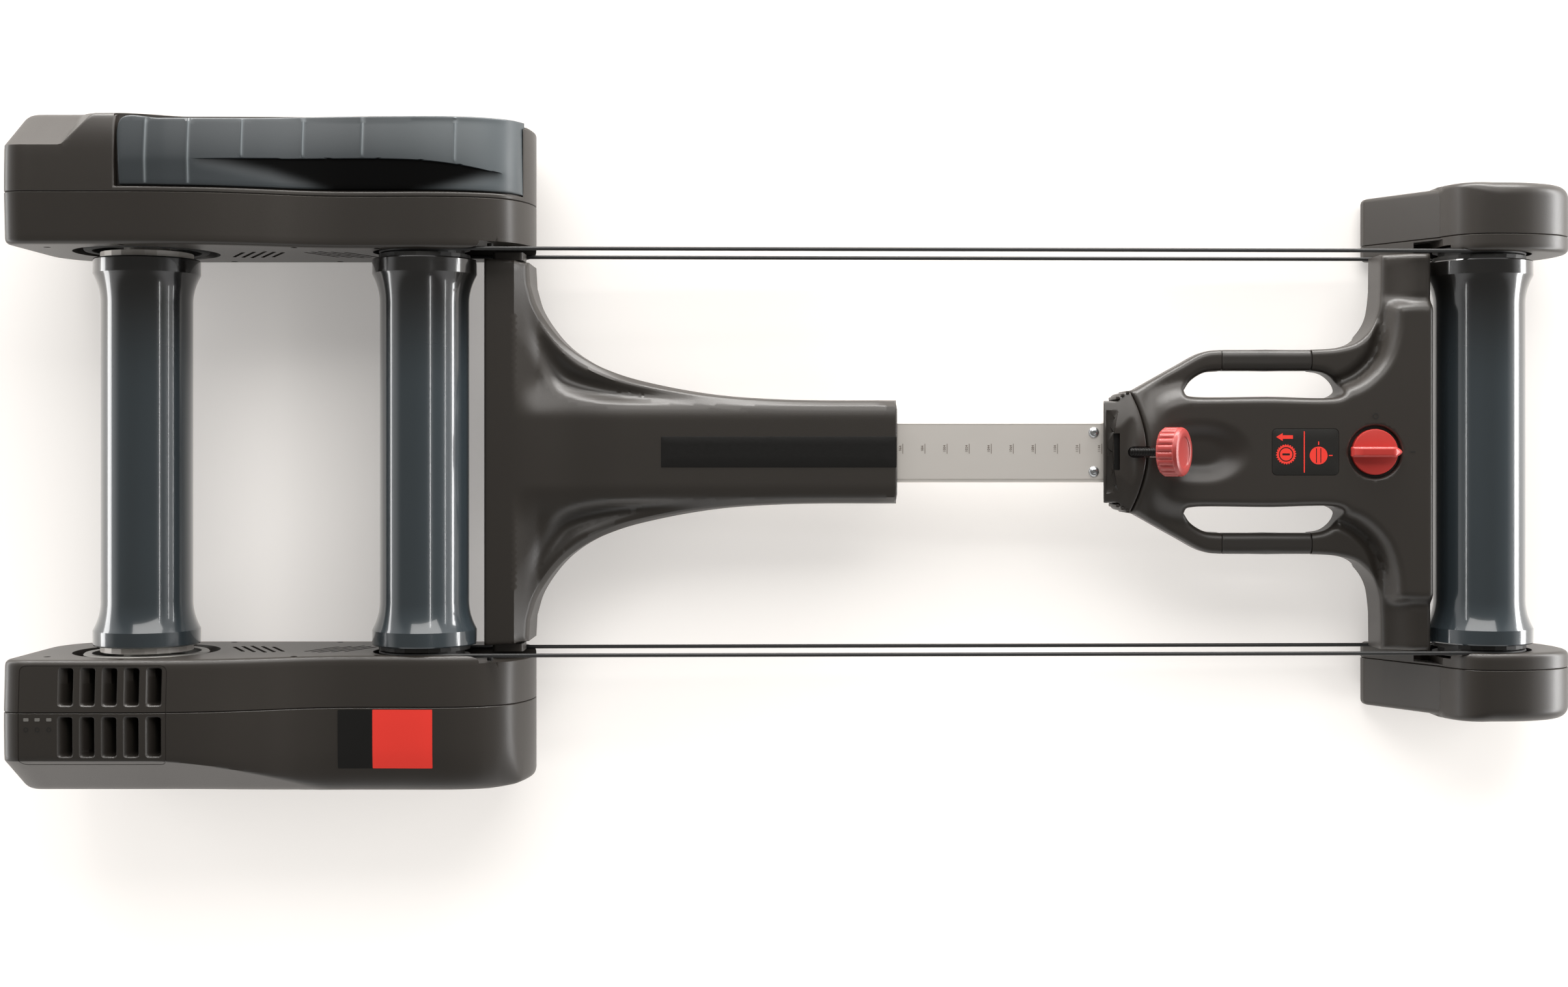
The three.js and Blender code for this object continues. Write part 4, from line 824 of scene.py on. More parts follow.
def wall_slots(side):
    """The leaning slots and the screw holes of an inner wall."""
    near, shallow, deep = (side * (WALL_Y + depth) for depth in (-CUT_START, LOUVRE_DEPTH, SCREW_DEPTH))
    cutters = []
    for centre, lean in LOUVRES:
        for k in range(-2, 3):
            length = LOUVRE_LENGTH - LOUVRE_STEP * abs(k)
            x = centre + k * LOUVRE_STEP
            cutters.append(slot_cutter(x, LOUVRE_Z, length, LOUVRE_WIDTH, lean, near, shallow))
    y0, y1 = sorted((near, deep))
    hole = [(ON_AXIS, y0), (SCREW_HOLE, y0), (SCREW_HOLE, y1), (ON_AXIS, y1)]
    for x, z in SCREW_PLACES:
        cutters.append(turned("cutter", hole, (x, 0, z), "y", 24))
    return cutters


def belt_mouth(side):
    """The notch in the nose's top where the belt's upper run leaves the box."""
    span = sorted(side * (WALL_Y + depth) for depth in MOUTH_DEPTHS)
    return prism("cutter", rectangle(*MOUTH_X, *span, 2.5, 1), *MOUTH_Z)


def hub_ring(name, side):
    """The ring round a drum's end in the rear recess."""
    near, rim, edge, far = (side * (WALL_Y + depth) for depth in (0.5, 0.9, 1.6, WALL_DEPTH - 0.4))
    profile = [(47.6, near), (53.5, near), (54.6, edge), (54.8, far), (47.2, far), (47.2, rim)]
    return turned(name, profile, (REAR_AXLE_X, 0, AXLE_Z), "y", 96, 30)


def screw(name, x, z, side):
    """A pan-head screw deep in its hole."""
    head = [(ON_AXIS, 0), (0.9, 0), (1.0, 0.8), (1.6, 0.8), (1.7, 0), (2.6, 0.3), (2.8, 1.0), (2.8, 3.2),
            (ON_AXIS, 3.2)]
    profile = [(radius, side * (WALL_Y + SCREW_HEAD_DEPTH + depth)) for radius, depth in head]
    return turned(name, profile, (x, 0, z), "y", 24, 30)


# Vents, plates and lamps of the right box

VENT_COUNT = 5
VENT_X = REAR_X + 51.6
VENT_STEP = 19.0
VENT_WIDTH = 12.0
VENT_DEPTH = 26.0
VENT_ROUND = 2.4
VENT_CHAMFER = 1.0
VENT_TAPER = 0.6
TAPER_DEPTH = 8.0
VENTS_INNER = (-(SEAM_Y - 6), -(WALL_Y + 7))
VENTS_OUTER = (-(SEAM_Y + 38), -(SEAM_Y + 4))
PANEL = (-681.0, -553.7, -271.0, -184.5)
GROOVE_WIDTH = 0.7
GROOVE_DEPTH = 0.5
PLATE_Y = (-279.0, -227.0)
PLATES = (("plate_dark", -413.2, -382.8, "black_strip"), ("plate_red", -382.8, -330.0, "mark_red"))
LAMP_XS = (-674.0, -664.4, -654.3)
LAMP_Y = -231.0
LAMP_SIGN_Y = LAMP_Y - 8.6


def vent_cutter(x, y0, y1, surface):
    """A slot with a chamfered rim and a sloping rear wall."""
    line = rectangle(x, x + VENT_WIDTH, y0, y1, VENT_ROUND, 1)
    middle = np.array([x + VENT_WIDTH / 2, (y0 + y1) / 2])
    half = np.array([VENT_WIDTH / 2, (y1 - y0) / 2])
    wide = middle + (line - middle) * (half + VENT_CHAMFER) / half
    low = np.column_stack([x + VENT_WIDTH - (x + VENT_WIDTH - line[:, 0]) * VENT_TAPER, line[:, 1]])
    heights = surface(wide[:, 0], wide[:, 1])
    flat = np.full(len(line), float(heights.mean()))
    levels = ((wide, heights + 8), (wide, heights + 0.05), (line, heights - VENT_CHAMFER),
              (low, flat - TAPER_DEPTH), (low, flat - VENT_DEPTH))
    return lofted("cutter", [np.column_stack(pair) for pair in levels])


def vent_cutters(span, surface):
    return [vent_cutter(VENT_X + VENT_STEP * k, *span, surface) for k in range(VENT_COUNT)]


def panel_groove(surface):
    """The thin line round the vents, once for each shell."""
    x0, x1, y0, y1 = PANEL
    g = GROOVE_WIDTH
    hole = rectangle(x0 + g, x1 - g, y0 + g, y1 - g, 6 - g, 2)
    return relief("cutter", rectangle(*PANEL, 6, 2), lambda u, v, d: surface(u, v) + 4,
                  lambda u, v, d: surface(u, v) - GROOVE_DEPTH, holes=[hole], cell=30)


def decal(name, outline, surface, look, cell=6.0, holes=(), thick=0.18, sunk=0.4):
    """A thin film or printed mark that follows the surface it lies on."""
    small = min(outline.max(0) - outline.min(0))
    piece = relief(name, outline, lambda u, v, d: surface(u, v) + thick,
                   lambda u, v, d: surface(u, v) - sunk, holes=holes, cell=min(cell, max(small / 2, 0.5)))
    place(piece, "rear_frame", "label", look=look)


def box_marks(surface):
    """Plain plates, indicator lamps and small signs on the right box."""
    for name, x0, x1, look in PLATES:
        decal(name, rectangle(x0, x1, *PLATE_Y, 0.6, 3), surface, look)
    for k, x in enumerate(LAMP_XS):
        lamp = rectangle(x - 2.2, x + 2.2, LAMP_Y - 1.4, LAMP_Y + 1.4, 0.5, 1)
        decal(f"indicator_{k + 1}", lamp, surface, "lamp_lens", cell=1.5)
        ring, hole = (circle(x, LAMP_SIGN_Y, radius, 32) for radius in (2.1, 1.5))
        decal(f"indicator_sign_{k + 1}", ring, surface, "dark_plastic", 3, [hole[::-1]], 0.15, 0.3)


# Step pad of the left box

PAD_X = (REAR_X + 103, REAR_X + BOX_LENGTH - 7)
PAD_Y = (231.0, 292.5)
PAD_TOP = 181.8
PAD_RISE = 1.2
PAD_ROUND = 1.8
OUTER_FALL = 4.6
INNER_FALL = 1.4
PAD_EDGE = [
    (-255, 296.8), (-290, 296.8), (-345, 296.8), (-400, 296.4), (-440, 294.8), (-480, 291.8), (-520, 290),
    (-560, 289.2),
]
PAD_CREASE = [
    (-596, 252.5), (-530, 253.4), (-480, 255.6), (-420, 258.4), (-378, 258.8), (-340, 257.4), (-306, 253.6),
    (-272, 247.5), (-250, 244),
]
PAD_RIBS = (-572.0, -535.7)
PAD_RIBS_OUTER = (-492.0, -442.8, -391.9, -310.4)
PAD_RIB_HEIGHT = 0.7
PAD_RIB_HALF = 0.9
SCOOP_X = (-533, -268)
SCOOP_RUN = 8.0
SCOOP_WIDTH = 18.0
SCOOP_DEPTH = 2.2
NOSE_SHADE = (-420, 150)
SCOOP_LOW = [
    (-533, 255), (-505, 250), (-470, 243), (-440, 234), (-415, 224), (-360, 222), (-335, 228), (-310, 235),
    (-290, 241), (-268, 246),
]
POCKET_RIM = 1.9
POCKET_GAPS = (5.4, 1.5, 3.4, 14.0)


def pad_outline(step=2.0):
    (x0, x1), (y0, y1) = PAD_X, PAD_Y
    inner = straight([(x0, y0), (x1, y0)], step)
    rear = [(x0 + 1.5, y1 - 3.4), (x0 - 0.6, PAD_CREASE[0][1]), (x0, y0)]
    return loop(inner, spline([*PAD_EDGE, *rear], step))


def pocket_outline(step=2.0):
    """The pocket is a little longer than the pad, and open on the outer side."""
    rear, front, inner, outer = POCKET_GAPS
    x0, x1 = PAD_X[0] - rear, PAD_X[1] + front
    y0, y1 = PAD_Y[0] - inner, PAD_Y[1] + outer
    return rounded([(x0, y0), (x1, y0), (x1, y1), (x0, y1)], [2.5, 1.5, 1.5, 1.5], step)


def pad_height(u, v):
    """The pad's own surface: the box's top, with a fold along it and the outer half falling away."""
    crease = line_at(PAD_CREASE, u)
    out = np.clip((v - crease) / (PAD_Y[1] - crease), 0, 1)
    inn = np.clip((crease - v) / (crease - PAD_Y[0]), 0, 1)
    return np.minimum(box_top(u) + PAD_RISE, PAD_TOP) - OUTER_FALL * out**1.6 - INNER_FALL * inn


def scoop_shade(u, v):
    """How deep in the pad's hollow a place lies, from 0 to 1; it sinks the hollow and also masks the hollow's
    painted shade.
    """
    start, end = SCOOP_X
    ends = ease((u - start) / SCOOP_RUN) * ease((end - u) / SCOOP_RUN)
    return ease((v - line_at(SCOOP_LOW, u)) / SCOOP_WIDTH + 0.5) * ends * (v < line_at(PAD_CREASE, u))


def rib_shade(u, v, d):
    """1 on the pad's thin ribs and 0 elsewhere; it raises the ribs and also masks their painted highlight."""
    out = np.zeros(len(u))
    past_crease = ease((v - line_at(PAD_CREASE, u) - 0.5) / 1.5)
    for x in (*PAD_RIBS, *PAD_RIBS_OUTER):
        line = np.exp(-(((u - x) / PAD_RIB_HALF) ** 2))
        out = np.maximum(out, line * past_crease if x in PAD_RIBS_OUTER else line)
    return out * ease((d - 0.6) / 1.5)


def pad_lines():
    """Where the pad's mesh follows its crease and its ribs."""
    crease = spline(PAD_CREASE[1:-1], 3)
    lines = [crease + [0, shift] for shift in (0.5, -0.05, -0.6)]
    for x in (*PAD_RIBS, *PAD_RIBS_OUTER):
        low = float(line_at(PAD_CREASE, x)) + 0.9
        spans = [(low, 289.5)]
        if x in PAD_RIBS:
            spans.append((233, low - 2.2))
        for shift in (-2.4, -1.2, -0.6, 0, 0.6, 1.2, 2.4):
            lines.extend(straight([(x + shift, a), (x + shift, b)], 3) for a, b in spans)
    return lines


def step_pad():
    def top(u, v, d):
        z = pad_height(u, v) - SCOOP_DEPTH * scoop_shade(u, v) + PAD_RIB_HEIGHT * rib_shade(u, v, d)
        return z - round_edge(d, PAD_ROUND)

    pad = relief("step_pad_body", pad_outline(), top, lambda u, v, d: pad_height(u, v) - SCOOP_DEPTH - 2,
                 rings=[0.2, 0.6, 1.1, 1.8], cell=3, lines=pad_lines(), sharp=24)
    # The colour layer holds painted shade in the hollow, a painted highlight on the ribs and a lighter tone
    # towards the nose.
    co = np.array([v.co for v in pad.data.vertices]) / MM
    x, y = co[:, 0], co[:, 1]
    rib_highlight = rib_shade(x, y, nearest(co[:, :2], [pad_outline()]))
    start, run = NOSE_SHADE
    shade = np.column_stack([scoop_shade(x, y), rib_highlight, ease((x - start) / run), np.ones(len(co))])
    layer = pad.data.color_attributes.new("shade", "FLOAT_COLOR", "POINT")
    layer.data.foreach_set("color", shade.ravel())
    return pad


def pad_pocket(surface):
    """The pocket that the pad lies in, with a chamfered rim."""
    def floor(u, v, d):
        rim = surface(u, v) + 0.02 - round_edge(POCKET_RIM - d, POCKET_RIM)
        deep = pad_height(u, np.clip(v, *PAD_Y)) - SCOOP_DEPTH - 5
        return np.where((d < POCKET_RIM) & (v < PAD_Y[1]), rim, deep)

    return relief("cutter", pocket_outline(), lambda u, v, d: pad_height(u, v) + 30, floor,
                  rings=[0.5, 1.0, 1.5, 1.85, 1.95], cell=6)


def make_boxes():
    for name, side in SIDES:
        inner = inner_shell(f"{name}_inner_case", side)
        outer = outer_shell(f"{name}_outer_case", side)
        surface = surface_of(inner, outer)
        if side == 1:
            inner_cuts, outer_cuts = wall_slots(side), [pad_pocket(surface)]
        else:
            inner_cuts = [*wall_slots(side), *vent_cutters(VENTS_INNER, surface)]
            outer_cuts = vent_cutters(VENTS_OUTER, surface)
            box_marks(surface)
            inner = carve(inner, [panel_groove(surface)])
            outer = carve(outer, [panel_groove(surface)])
        for cutters in (wall_cutters(side), inner_cuts, [belt_mouth(side)]):
            inner = carve(inner, cutters)
        outer = carve(outer, outer_cuts)
        place(inner, "rear_frame", "shell", f"{name}_inner_shell")
        place(outer, "rear_frame", "shell", f"{name}_outer_shell")
        # The left ring gets the dark rubber look as painted shade, so that the left recess reads dark; the
        # right ring is steel.
        ring_look = "rubber" if side == 1 else "hub_steel"
        place(hub_ring(f"{name}_hub_ring", side), "rear_frame", "steel", look=ring_look)
        heads = [screw(f"{name}_screws", x, z, side) for x, z in SCREW_PLACES]
        place(joined(heads), "rear_frame", "steel", look="black_steel")
    place(step_pad(), "rear_frame", "pad", "step_pad")


# Drums and belts

DRUMS = (
    ("rear", REAR_AXLE_X, AXLE_Z),
    ("mid", MID_AXLE_X, AXLE_Z),
    ("front", FRONT_AXLE_X, FRONT_AXLE_Z),
)
BARREL_RADIUS = 40.0
RING_FLARE = 6.3
FLARE_Y = 134.0
FLARE_LENGTH = 25.2
BELT_RADIUS = 39.0
BELT_Y = 180.5
CORD_RADIUS = 1.75


def drum_profile():
    end = [(44.9, 174), (46.2, 173.6), (46.8, 172.6), (46.9, 160.4), (46.5, 159.6)]
    steps = np.linspace(1, 0, 14)
    flare = [(BARREL_RADIUS + RING_FLARE * t**2.1, FLARE_Y + FLARE_LENGTH * t) for t in steps]
    left = [*end, *flare, (BARREL_RADIUS, 120), (BARREL_RADIUS, 60)]
    right = [(radius, -y) for radius, y in left[::-1]]
    bore = [(36.4, -174), (36, -173.6), (36, 173.6), (36.4, 174)]
    return [*left, (BARREL_RADIUS, 0), *right, *bore]


def make_drums():
    for name, x, z in DRUMS:
        drum = turned(f"{name}_drum_tube", drum_profile(), (x, 0, z), "y", 128, 24)
        place(drum, f"{name}_drum", "drum", f"{name}_drum_barrel")


def belt_path(y):
    """Round the middle pulley and the front pulley, and straight between them."""
    a, b = np.array([MID_AXLE_X, AXLE_Z]), np.array([FRONT_AXLE_X, FRONT_AXLE_Z])
    turn = np.linspace(math.pi / 2, 3 * math.pi / 2, 33) + math.atan2(b[1] - a[1], b[0] - a[0])
    rear = [a + BELT_RADIUS * np.array([math.cos(t), math.sin(t)]) for t in turn]
    front = [b + BELT_RADIUS * np.array([math.cos(t), math.sin(t)]) for t in turn + math.pi]
    lower = straight([rear[-1], front[0]], 12)[1:-1]
    upper = straight([front[-1], rear[0]], 12)[1:-1]
    flat = np.vstack([rear, lower, front, upper])
    return np.column_stack([flat[:, 0], np.full(len(flat), y), flat[:, 1]])


def make_belts():
    for name, side in SIDES:
        cord = swept(f"{name}_cord", belt_path(side * BELT_Y), CORD_RADIUS)
        place(cord, None, "belt", f"drive_belt_{name}")
        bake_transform(cord)


# Rear beam

FUNNEL = [
    (0.106, 0.873), (0.122, 0.761), (0.151, 0.659), (0.191, 0.561), (0.248, 0.475), (0.329, 0.401),
    (0.443, 0.34), (0.573, 0.295), (0.704, 0.275), (0.817, 0.269), (1, 0.269),
]
SPINE = [
    (-254, 95), (-247, 80), (-241.3, 70.1), (-229.2, 55.1), (-214.2, 47.5), (-190.4, 43.1), (-160.5, 41.6),
    (-110, 41.1), (-60, 41), (20, 41), (81, 41),
]
BEAM_END_X = BEAM_X + BEAM_LENGTH
BEAM_TOP = 105.0
BEAM_FOOT = 34.0
BEAM_CEILING = 87.0
BEAM_WALL = 4.6
CREST_X = -263.7
SLOPE_X = -250.5
FOLD_DROP = 7.5
FLUTE_DEPTH = 8.5
RIM_SHARE = 0.8
RIM_DROP = 4.5
SIDE_DROP = 4.5
END_DROP = 4.5
SPINE_DROP = 3.0
BEAM_ROUND = 2.6
STRIP = (-131.0, 81.6, -14.0, 14.0)
STRIP_RISE = 0.25
TENON_RUN = (6, 34)
TENON_Z = (68, 94)


def beam_outline():
    half = CROSSBAR_HALF
    funnel = spline(shares(FUNNEL, BEAM_X, BEAM_LENGTH, 0, half), 2.5)
    shoulder = [(BEAM_X, half), (BEAM_X + 38.4, half * 0.985), tuple(funnel[0])]
    end = [tuple(funnel[-1]), (BEAM_END_X, 0)]
    return mirrored(loop(straight([(BEAM_X, 0), (BEAM_X, half)], 3), straight(shoulder, 3)[1:], funnel[1:],
                         straight(end, 3)[1:]))


def beam_top():
    """The crossbar's crest and slope, the funnel's flutes and its falling rim, round a flat spine."""
    half, spine = CROSSBAR_HALF + 5, spline(SPINE, 2.5)
    rear = straight([(BEAM_X - 5, 0), (BEAM_X - 5, half), (CREST_X, half), (CREST_X, 110)], 4)
    front = [(BEAM_END_X + 5, spine[-1, 1]), (BEAM_END_X + 5, 0)]
    plateau_line = mirrored(loop(rear, spine, front))

    def top(u, v, d):
        out = beyond(u, v, plateau_line)
        share = out / (out + d + 1e-6)
        side = ease((np.abs(v) - 30) / 40)
        fold = FOLD_DROP * np.clip((u - CREST_X) / (SLOPE_X - CREST_X), 0, 1.6) * side
        fold = fold + SPINE_DROP * ease((u - CREST_X) / 60) * (1 - side) * (1 - ease((u + 225) / 60))
        flute = FLUTE_DEPTH * ease((u + 256) / 40) * (1 - ease((u + 195) / 105))
        valley = np.sin(np.pi * np.clip(share / RIM_SHARE, 0, 1)) ** 2
        rim = RIM_DROP * ease((share - RIM_SHARE) / (1 - RIM_SHARE))
        z = BEAM_TOP - fold - SIDE_DROP * share - rim - flute * valley
        z = z - END_DROP * ease((u - 60) / 22) * share
        return z - round_edge(d, BEAM_ROUND)

    return top


def rear_beam():
    top = beam_top()

    def bottom(u, v, d):
        return np.where(d < BEAM_WALL, BEAM_FOOT, np.minimum(BEAM_CEILING, top(u, v, d) - 5))

    spine = spline(SPINE, 2.5)
    crest = straight([(CREST_X, 0), (CREST_X, CROSSBAR_HALF - 1.5)], 3)
    lines = (spine[spine[:, 0] < BEAM_END_X - 1], crest[1:])
    creases = [line * [1, way] for line in lines for way in (1, -1)]
    return relief("rear_beam_body", beam_outline(), top, bottom, cell=3.6, lines=creases, rows=8, sharp=38,
                  rings=[0.15, 0.5, 1.1, 1.9, 2.7, 4.4, 4.7, 7, 10, 13])


def tenon(name, side):
    """The short neck that joins the crossbar to a side box."""
    x0, x1 = (BEAM_X + run for run in TENON_RUN)
    outline = rectangle(x0, x1, *TENON_Z, 3, 1)
    return prism(name, outline, side * (CROSSBAR_HALF - 1), side * (WALL_Y + 1), "xz")


# Aluminium beam, with its scale and screws

TUBE_X = (-112.7, 377.0)
TUBE_TOP = 100.0
TUBE_HALF = 27.65
TUBE_FLOOR = 55.0
TUBE_WALL = 2.5
GROOVE_INSET = 2.9
GROOVE_HALF = 0.25
SCALE_START = 87.57
SCALE_STEP = 20.0
SCALE_FIRST = 964
SCALE_COUNT = 10
TICK_Y = (-1.6, 7.4)
NUMBER_HEIGHT = 2.3
SCREW_X = 260.4
SCREW_Y = 17.7


def tube_profile():
    """The aluminium beam: a rectangular tube with small round edges and two fine grooves."""
    x0, x1 = TUBE_X
    half, low, high = TUBE_HALF - TUBE_WALL, TUBE_FLOOR + TUBE_WALL, TUBE_TOP - TUBE_WALL
    outer = rectangle(-TUBE_HALF, TUBE_HALF, TUBE_FLOOR, TUBE_TOP, 2.6, 0.7)
    solid = bar_along_x("beam_tube_body", outer, x0, x1, 60)
    cutters = [bar_along_x("cutter", rectangle(-half, half, low, high, 1.2, 1.2), x0 - 5, x1 + 5)]
    for y in (GROOVE_INSET - TUBE_HALF, TUBE_HALF - GROOVE_INSET):
        cutters.append(block(x0 - 5, x1 + 5, y - GROOVE_HALF, y + GROOVE_HALF, TUBE_TOP - 0.4, TUBE_TOP + 1))
    return carve(solid, cutters, 40)


def make_scale():
    """The insertion scale on the tube: a tick and a number every 20 mm."""
    ticks, numbers = [], []
    y = (TICK_Y[0] + TICK_Y[1]) / 2 + 0.4
    for k in range(SCALE_COUNT):
        x = SCALE_START + SCALE_STEP * k
        line = rectangle(x - 0.22, x + 0.22, *TICK_Y, 0.1, 2)
        ticks.append(prism("scale_ticks", line, TUBE_TOP + 0.1, TUBE_TOP - 0.2, cell=10))
        text = str(SCALE_FIRST + round(SCALE_STEP) * k)
        numbers.append(written("scale_numbers", text, (x - 2.4, y, TUBE_TOP + 0.02), NUMBER_HEIGHT))
    place(joined(ticks), "rear_frame", "label", look="ink")
    place(joined(numbers), "rear_frame", "label", look="ink")


def button_screw(name, x, y):
    """A low round head with a round socket, on a washer, with its shank in the tube."""
    dome = [(4.4 * math.cos(t), 0.8 + 2.0 * math.sin(t)) for t in np.linspace(0, 1.1, 8)]
    profile = [(ON_AXIS, -8), (2.4, -8), (2.4, 0), (4.7, 0), (4.7, 0.6), *dome, (1.9, 2.65), (1.6, 1.2),
               (ON_AXIS, 1.2)]
    return turned(name, profile, (x, y, TUBE_TOP), "z", 48, 30)


def make_beam():
    place(rear_beam(), "rear_frame", "shell", "rear_beam")
    strip = relief("beam_strip", rectangle(*STRIP, 0.6),
                   lambda u, v, d: BEAM_TOP + STRIP_RISE - round_edge(d, 0.2), level(BEAM_TOP - 0.5),
                   rings=[0.1, 0.2], cell=12)
    place(strip, "rear_frame", "label", look="black_strip")
    place(tube_profile(), "rear_frame", "aluminium", "beam_tube")
    for name, side in SIDES:
        place(tenon(f"{name}_tenon", side), "rear_frame", "shell")
        head = button_screw(f"stop_screw_{name}_head", SCREW_X, side * SCREW_Y)
        place(head, "rear_frame", "steel", f"stop_screw_{name}")
    make_scale()


# Top of the front section

HOUSING_TOP = 112.0
ARM_TOP = 98.0
SEAM_TIP_X = 306.5
SEAM_RUN = 12.5
SEAM_HALF = 54.0
DISH_X, DISH_HALF_X, DISH_HALF_Y, DISH_DEPTH = 357.0, 45.0, 29.5, 8.5
PLATEAU_X, PLATEAU_Y = 538.5, 129.5
SWEEP_DROP = 6.0
CROSSBAR_TOP = (92.0, 12.0)
RIDGE_FALL = 0.0125
PLATEAU_SIDE = [
    (311, 0), (313, 12), (317, 26), (325, 36), (340, 41.6), (360, 43.4), (400, 44), (465, 44), (486, 47),
    (504, 55), (518, 67), (528, 80), (534, 95), (537.5, 112), (PLATEAU_X, PLATEAU_Y),
]


def seam_x(y):
    """Where the collar meets the housing."""
    return SEAM_TIP_X - SEAM_RUN * np.minimum(1, np.abs(y) / SEAM_HALF) ** 2


def seam_line(shift, reach):
    """The left half of the seam, moved along X by the shift."""
    y = np.linspace(0, reach, 28)
    return np.column_stack([seam_x(y) + shift, y])


def plateau():
    """The flat top of the housing."""
    front = straight([(PLATEAU_X, PLATEAU_Y), (575, PLATEAU_Y), (575, 0)], 6)
    return mirrored(loop(spline(PLATEAU_SIDE, 3), front[1:]))


PLATEAU = plateau()


def dish(u, v):
    """The hollow behind the knob, steepest on its rear side."""
    along, across = (u - DISH_X) / DISH_HALF_X, v / DISH_HALF_Y
    reach = np.sqrt(np.where(along < 0, np.abs(along) ** 3, along**2) + across**2)
    return DISH_DEPTH * (1 - ease(np.clip((reach - 0.35) / 0.65, 0, 1))) * ease((u - 309) / 16)


def front_height(u, v):
    """The top of the collar and the housing, before edges and sunk details."""
    out = beyond(u, v, PLATEAU)
    run = 24 - 9 * ease((u - 470) / 50)
    fall = 0.5 - 0.5 * np.cos(np.pi * np.clip(out / run, 0, 1))
    z = HOUSING_TOP - (HOUSING_TOP - ARM_TOP) * fall
    sweep = ease((u - 448) / 24) * (1 - ease((np.abs(v) - 118) / 30)) * ease((out - 7) / 7)
    z = z - SWEEP_DROP * sweep * (1 - ease((out - 16) / 9))
    low = CROSSBAR_TOP[0] + CROSSBAR_TOP[1] * ease((u - 525) / 27)
    z = z + (low - z) * ease((np.abs(v) - 127) / 17) * ease((u - 500) / 10)
    near = 1 - ease((u - 296) / 34)
    ridge = HOUSING_TOP + 0.3 - RIDGE_FALL * np.abs(v) ** 1.75
    ridge = ridge - 2.6 * ease((295 - u) / 14) - 3.0 * ease((u - 303) / 16)
    z = z * (1 - near) + np.minimum(ridge, z + 9) * near
    return z - dish(u, v)


# Housing with its two hand openings

ARM_OUTLINE = [
    (0, 0.318), (0.15, 0.446), (0.241, 0.518), (0.299, 0.529), (0.45, 0.531), (0.609, 0.531), (0.7, 0.541),
    (0.762, 0.568), (0.798, 0.612), (0.825, 0.663), (0.84, 0.715), (0.848, 0.785), (0.852, 0.85),
]
HAND_HOLE = [
    (0.17, 0.318), (0.197, 0.369), (0.241, 0.41), (0.288, 0.42), (0.45, 0.42), (0.609, 0.42), (0.66, 0.403),
    (0.7, 0.35), (0.707, 0.305), (0.689, 0.285), (0.45, 0.285), (0.197, 0.285), (0.175, 0.294),
]
HOUSING_WALL = 4.0
HOUSING_ROUND = 5.5
HOLE_ROUND = 6.5
HOUSING_FOOT = 58.0
CROSSBAR_FOOT = 50.0
HOUSING_LIP = 2.2
CROSSBAR_REAR_X = 524.0
CROSSBAR_END = 179.7
ARM_FRONT_X = 507.0
ARM_FOOT = 74.0
SCREW_SLOT = (290.0, 330.0, -5.2, 4.9)
DARK_SLOT = (277.6, 283.0, -16.4, 16.8)
SLOT_FLOOR = 101.2
CUT_TOP = 130.0
BORE = (280, 560, -28.2, 28.2, 20, 100.4)
DIAL_X = 511.7
DIAL_RADIUS = 20.6
DIAL_RECESS = 23.7
DIAL_WALL = 29.0
DIAL_FLOOR = 106.0
DIAL_CEILING = 101.5
LABEL = (419.0, 478.6, -20.7, 20.7)
LABEL_TOP = 112.0
GRIP_X = (377.1, 458.7)
GRIP_Y = (73.7, 92.7)
GRIP_Z = (77.0, 98.6)
GRIP_ROUND = 6.5
GRIP_SWELL = 0.25
CORE_Z = (80.6, 95.4)


def front_outline():
    arms = spline(shares(ARM_OUTLINE, HOUSING_X, HOUSING_LENGTH, 0, CROSSBAR_HALF), 2)
    end_x = HOUSING_X + HOUSING_LENGTH + HOUSING_LIP
    corners = [(CROSSBAR_REAR_X, CROSSBAR_END), (end_x, CROSSBAR_END), (end_x, 0)]
    crossbar = straight([tuple(arms[-1]), *corners], 3)
    return mirrored(loop(seam_line(0.25, 55.6), arms[1:], crossbar[1:]))


def hand_holes():
    table = shares([*HAND_HOLE, HAND_HOLE[0]], HOUSING_X, HOUSING_LENGTH, 0, CROSSBAR_HALF)
    hole = loop(spline(table, 2))
    return [hole, (hole * [1, -1])[::-1]]


def housing_base(u, v):
    """The housing's lower edge, higher along the arms."""
    arm = ease((np.abs(v) - 50) / 6) * (1 - ease((u - 468) / 52))
    return np.where(u > ARM_FRONT_X, CROSSBAR_FOOT, HOUSING_FOOT) * (1 - arm) + ARM_FOOT * arm


def screw_slot_cutter():
    return prism("cutter", rectangle(*SCREW_SLOT, 4.9), CUT_TOP, SLOT_FLOOR)


def dial_recess():
    profile = [
        (ON_AXIS, CUT_TOP), (DIAL_RECESS + 2.2, CUT_TOP), (DIAL_RECESS + 2.2, HOUSING_TOP + 0.1),
        (DIAL_RECESS + 0.6, HOUSING_TOP - 1.0), (DIAL_RECESS, HOUSING_TOP - 2.4), (DIAL_RECESS, DIAL_FLOOR),
        (ON_AXIS, DIAL_FLOOR),
    ]
    return turned("cutter", profile, (DIAL_X, 0, 0), "z", 96)


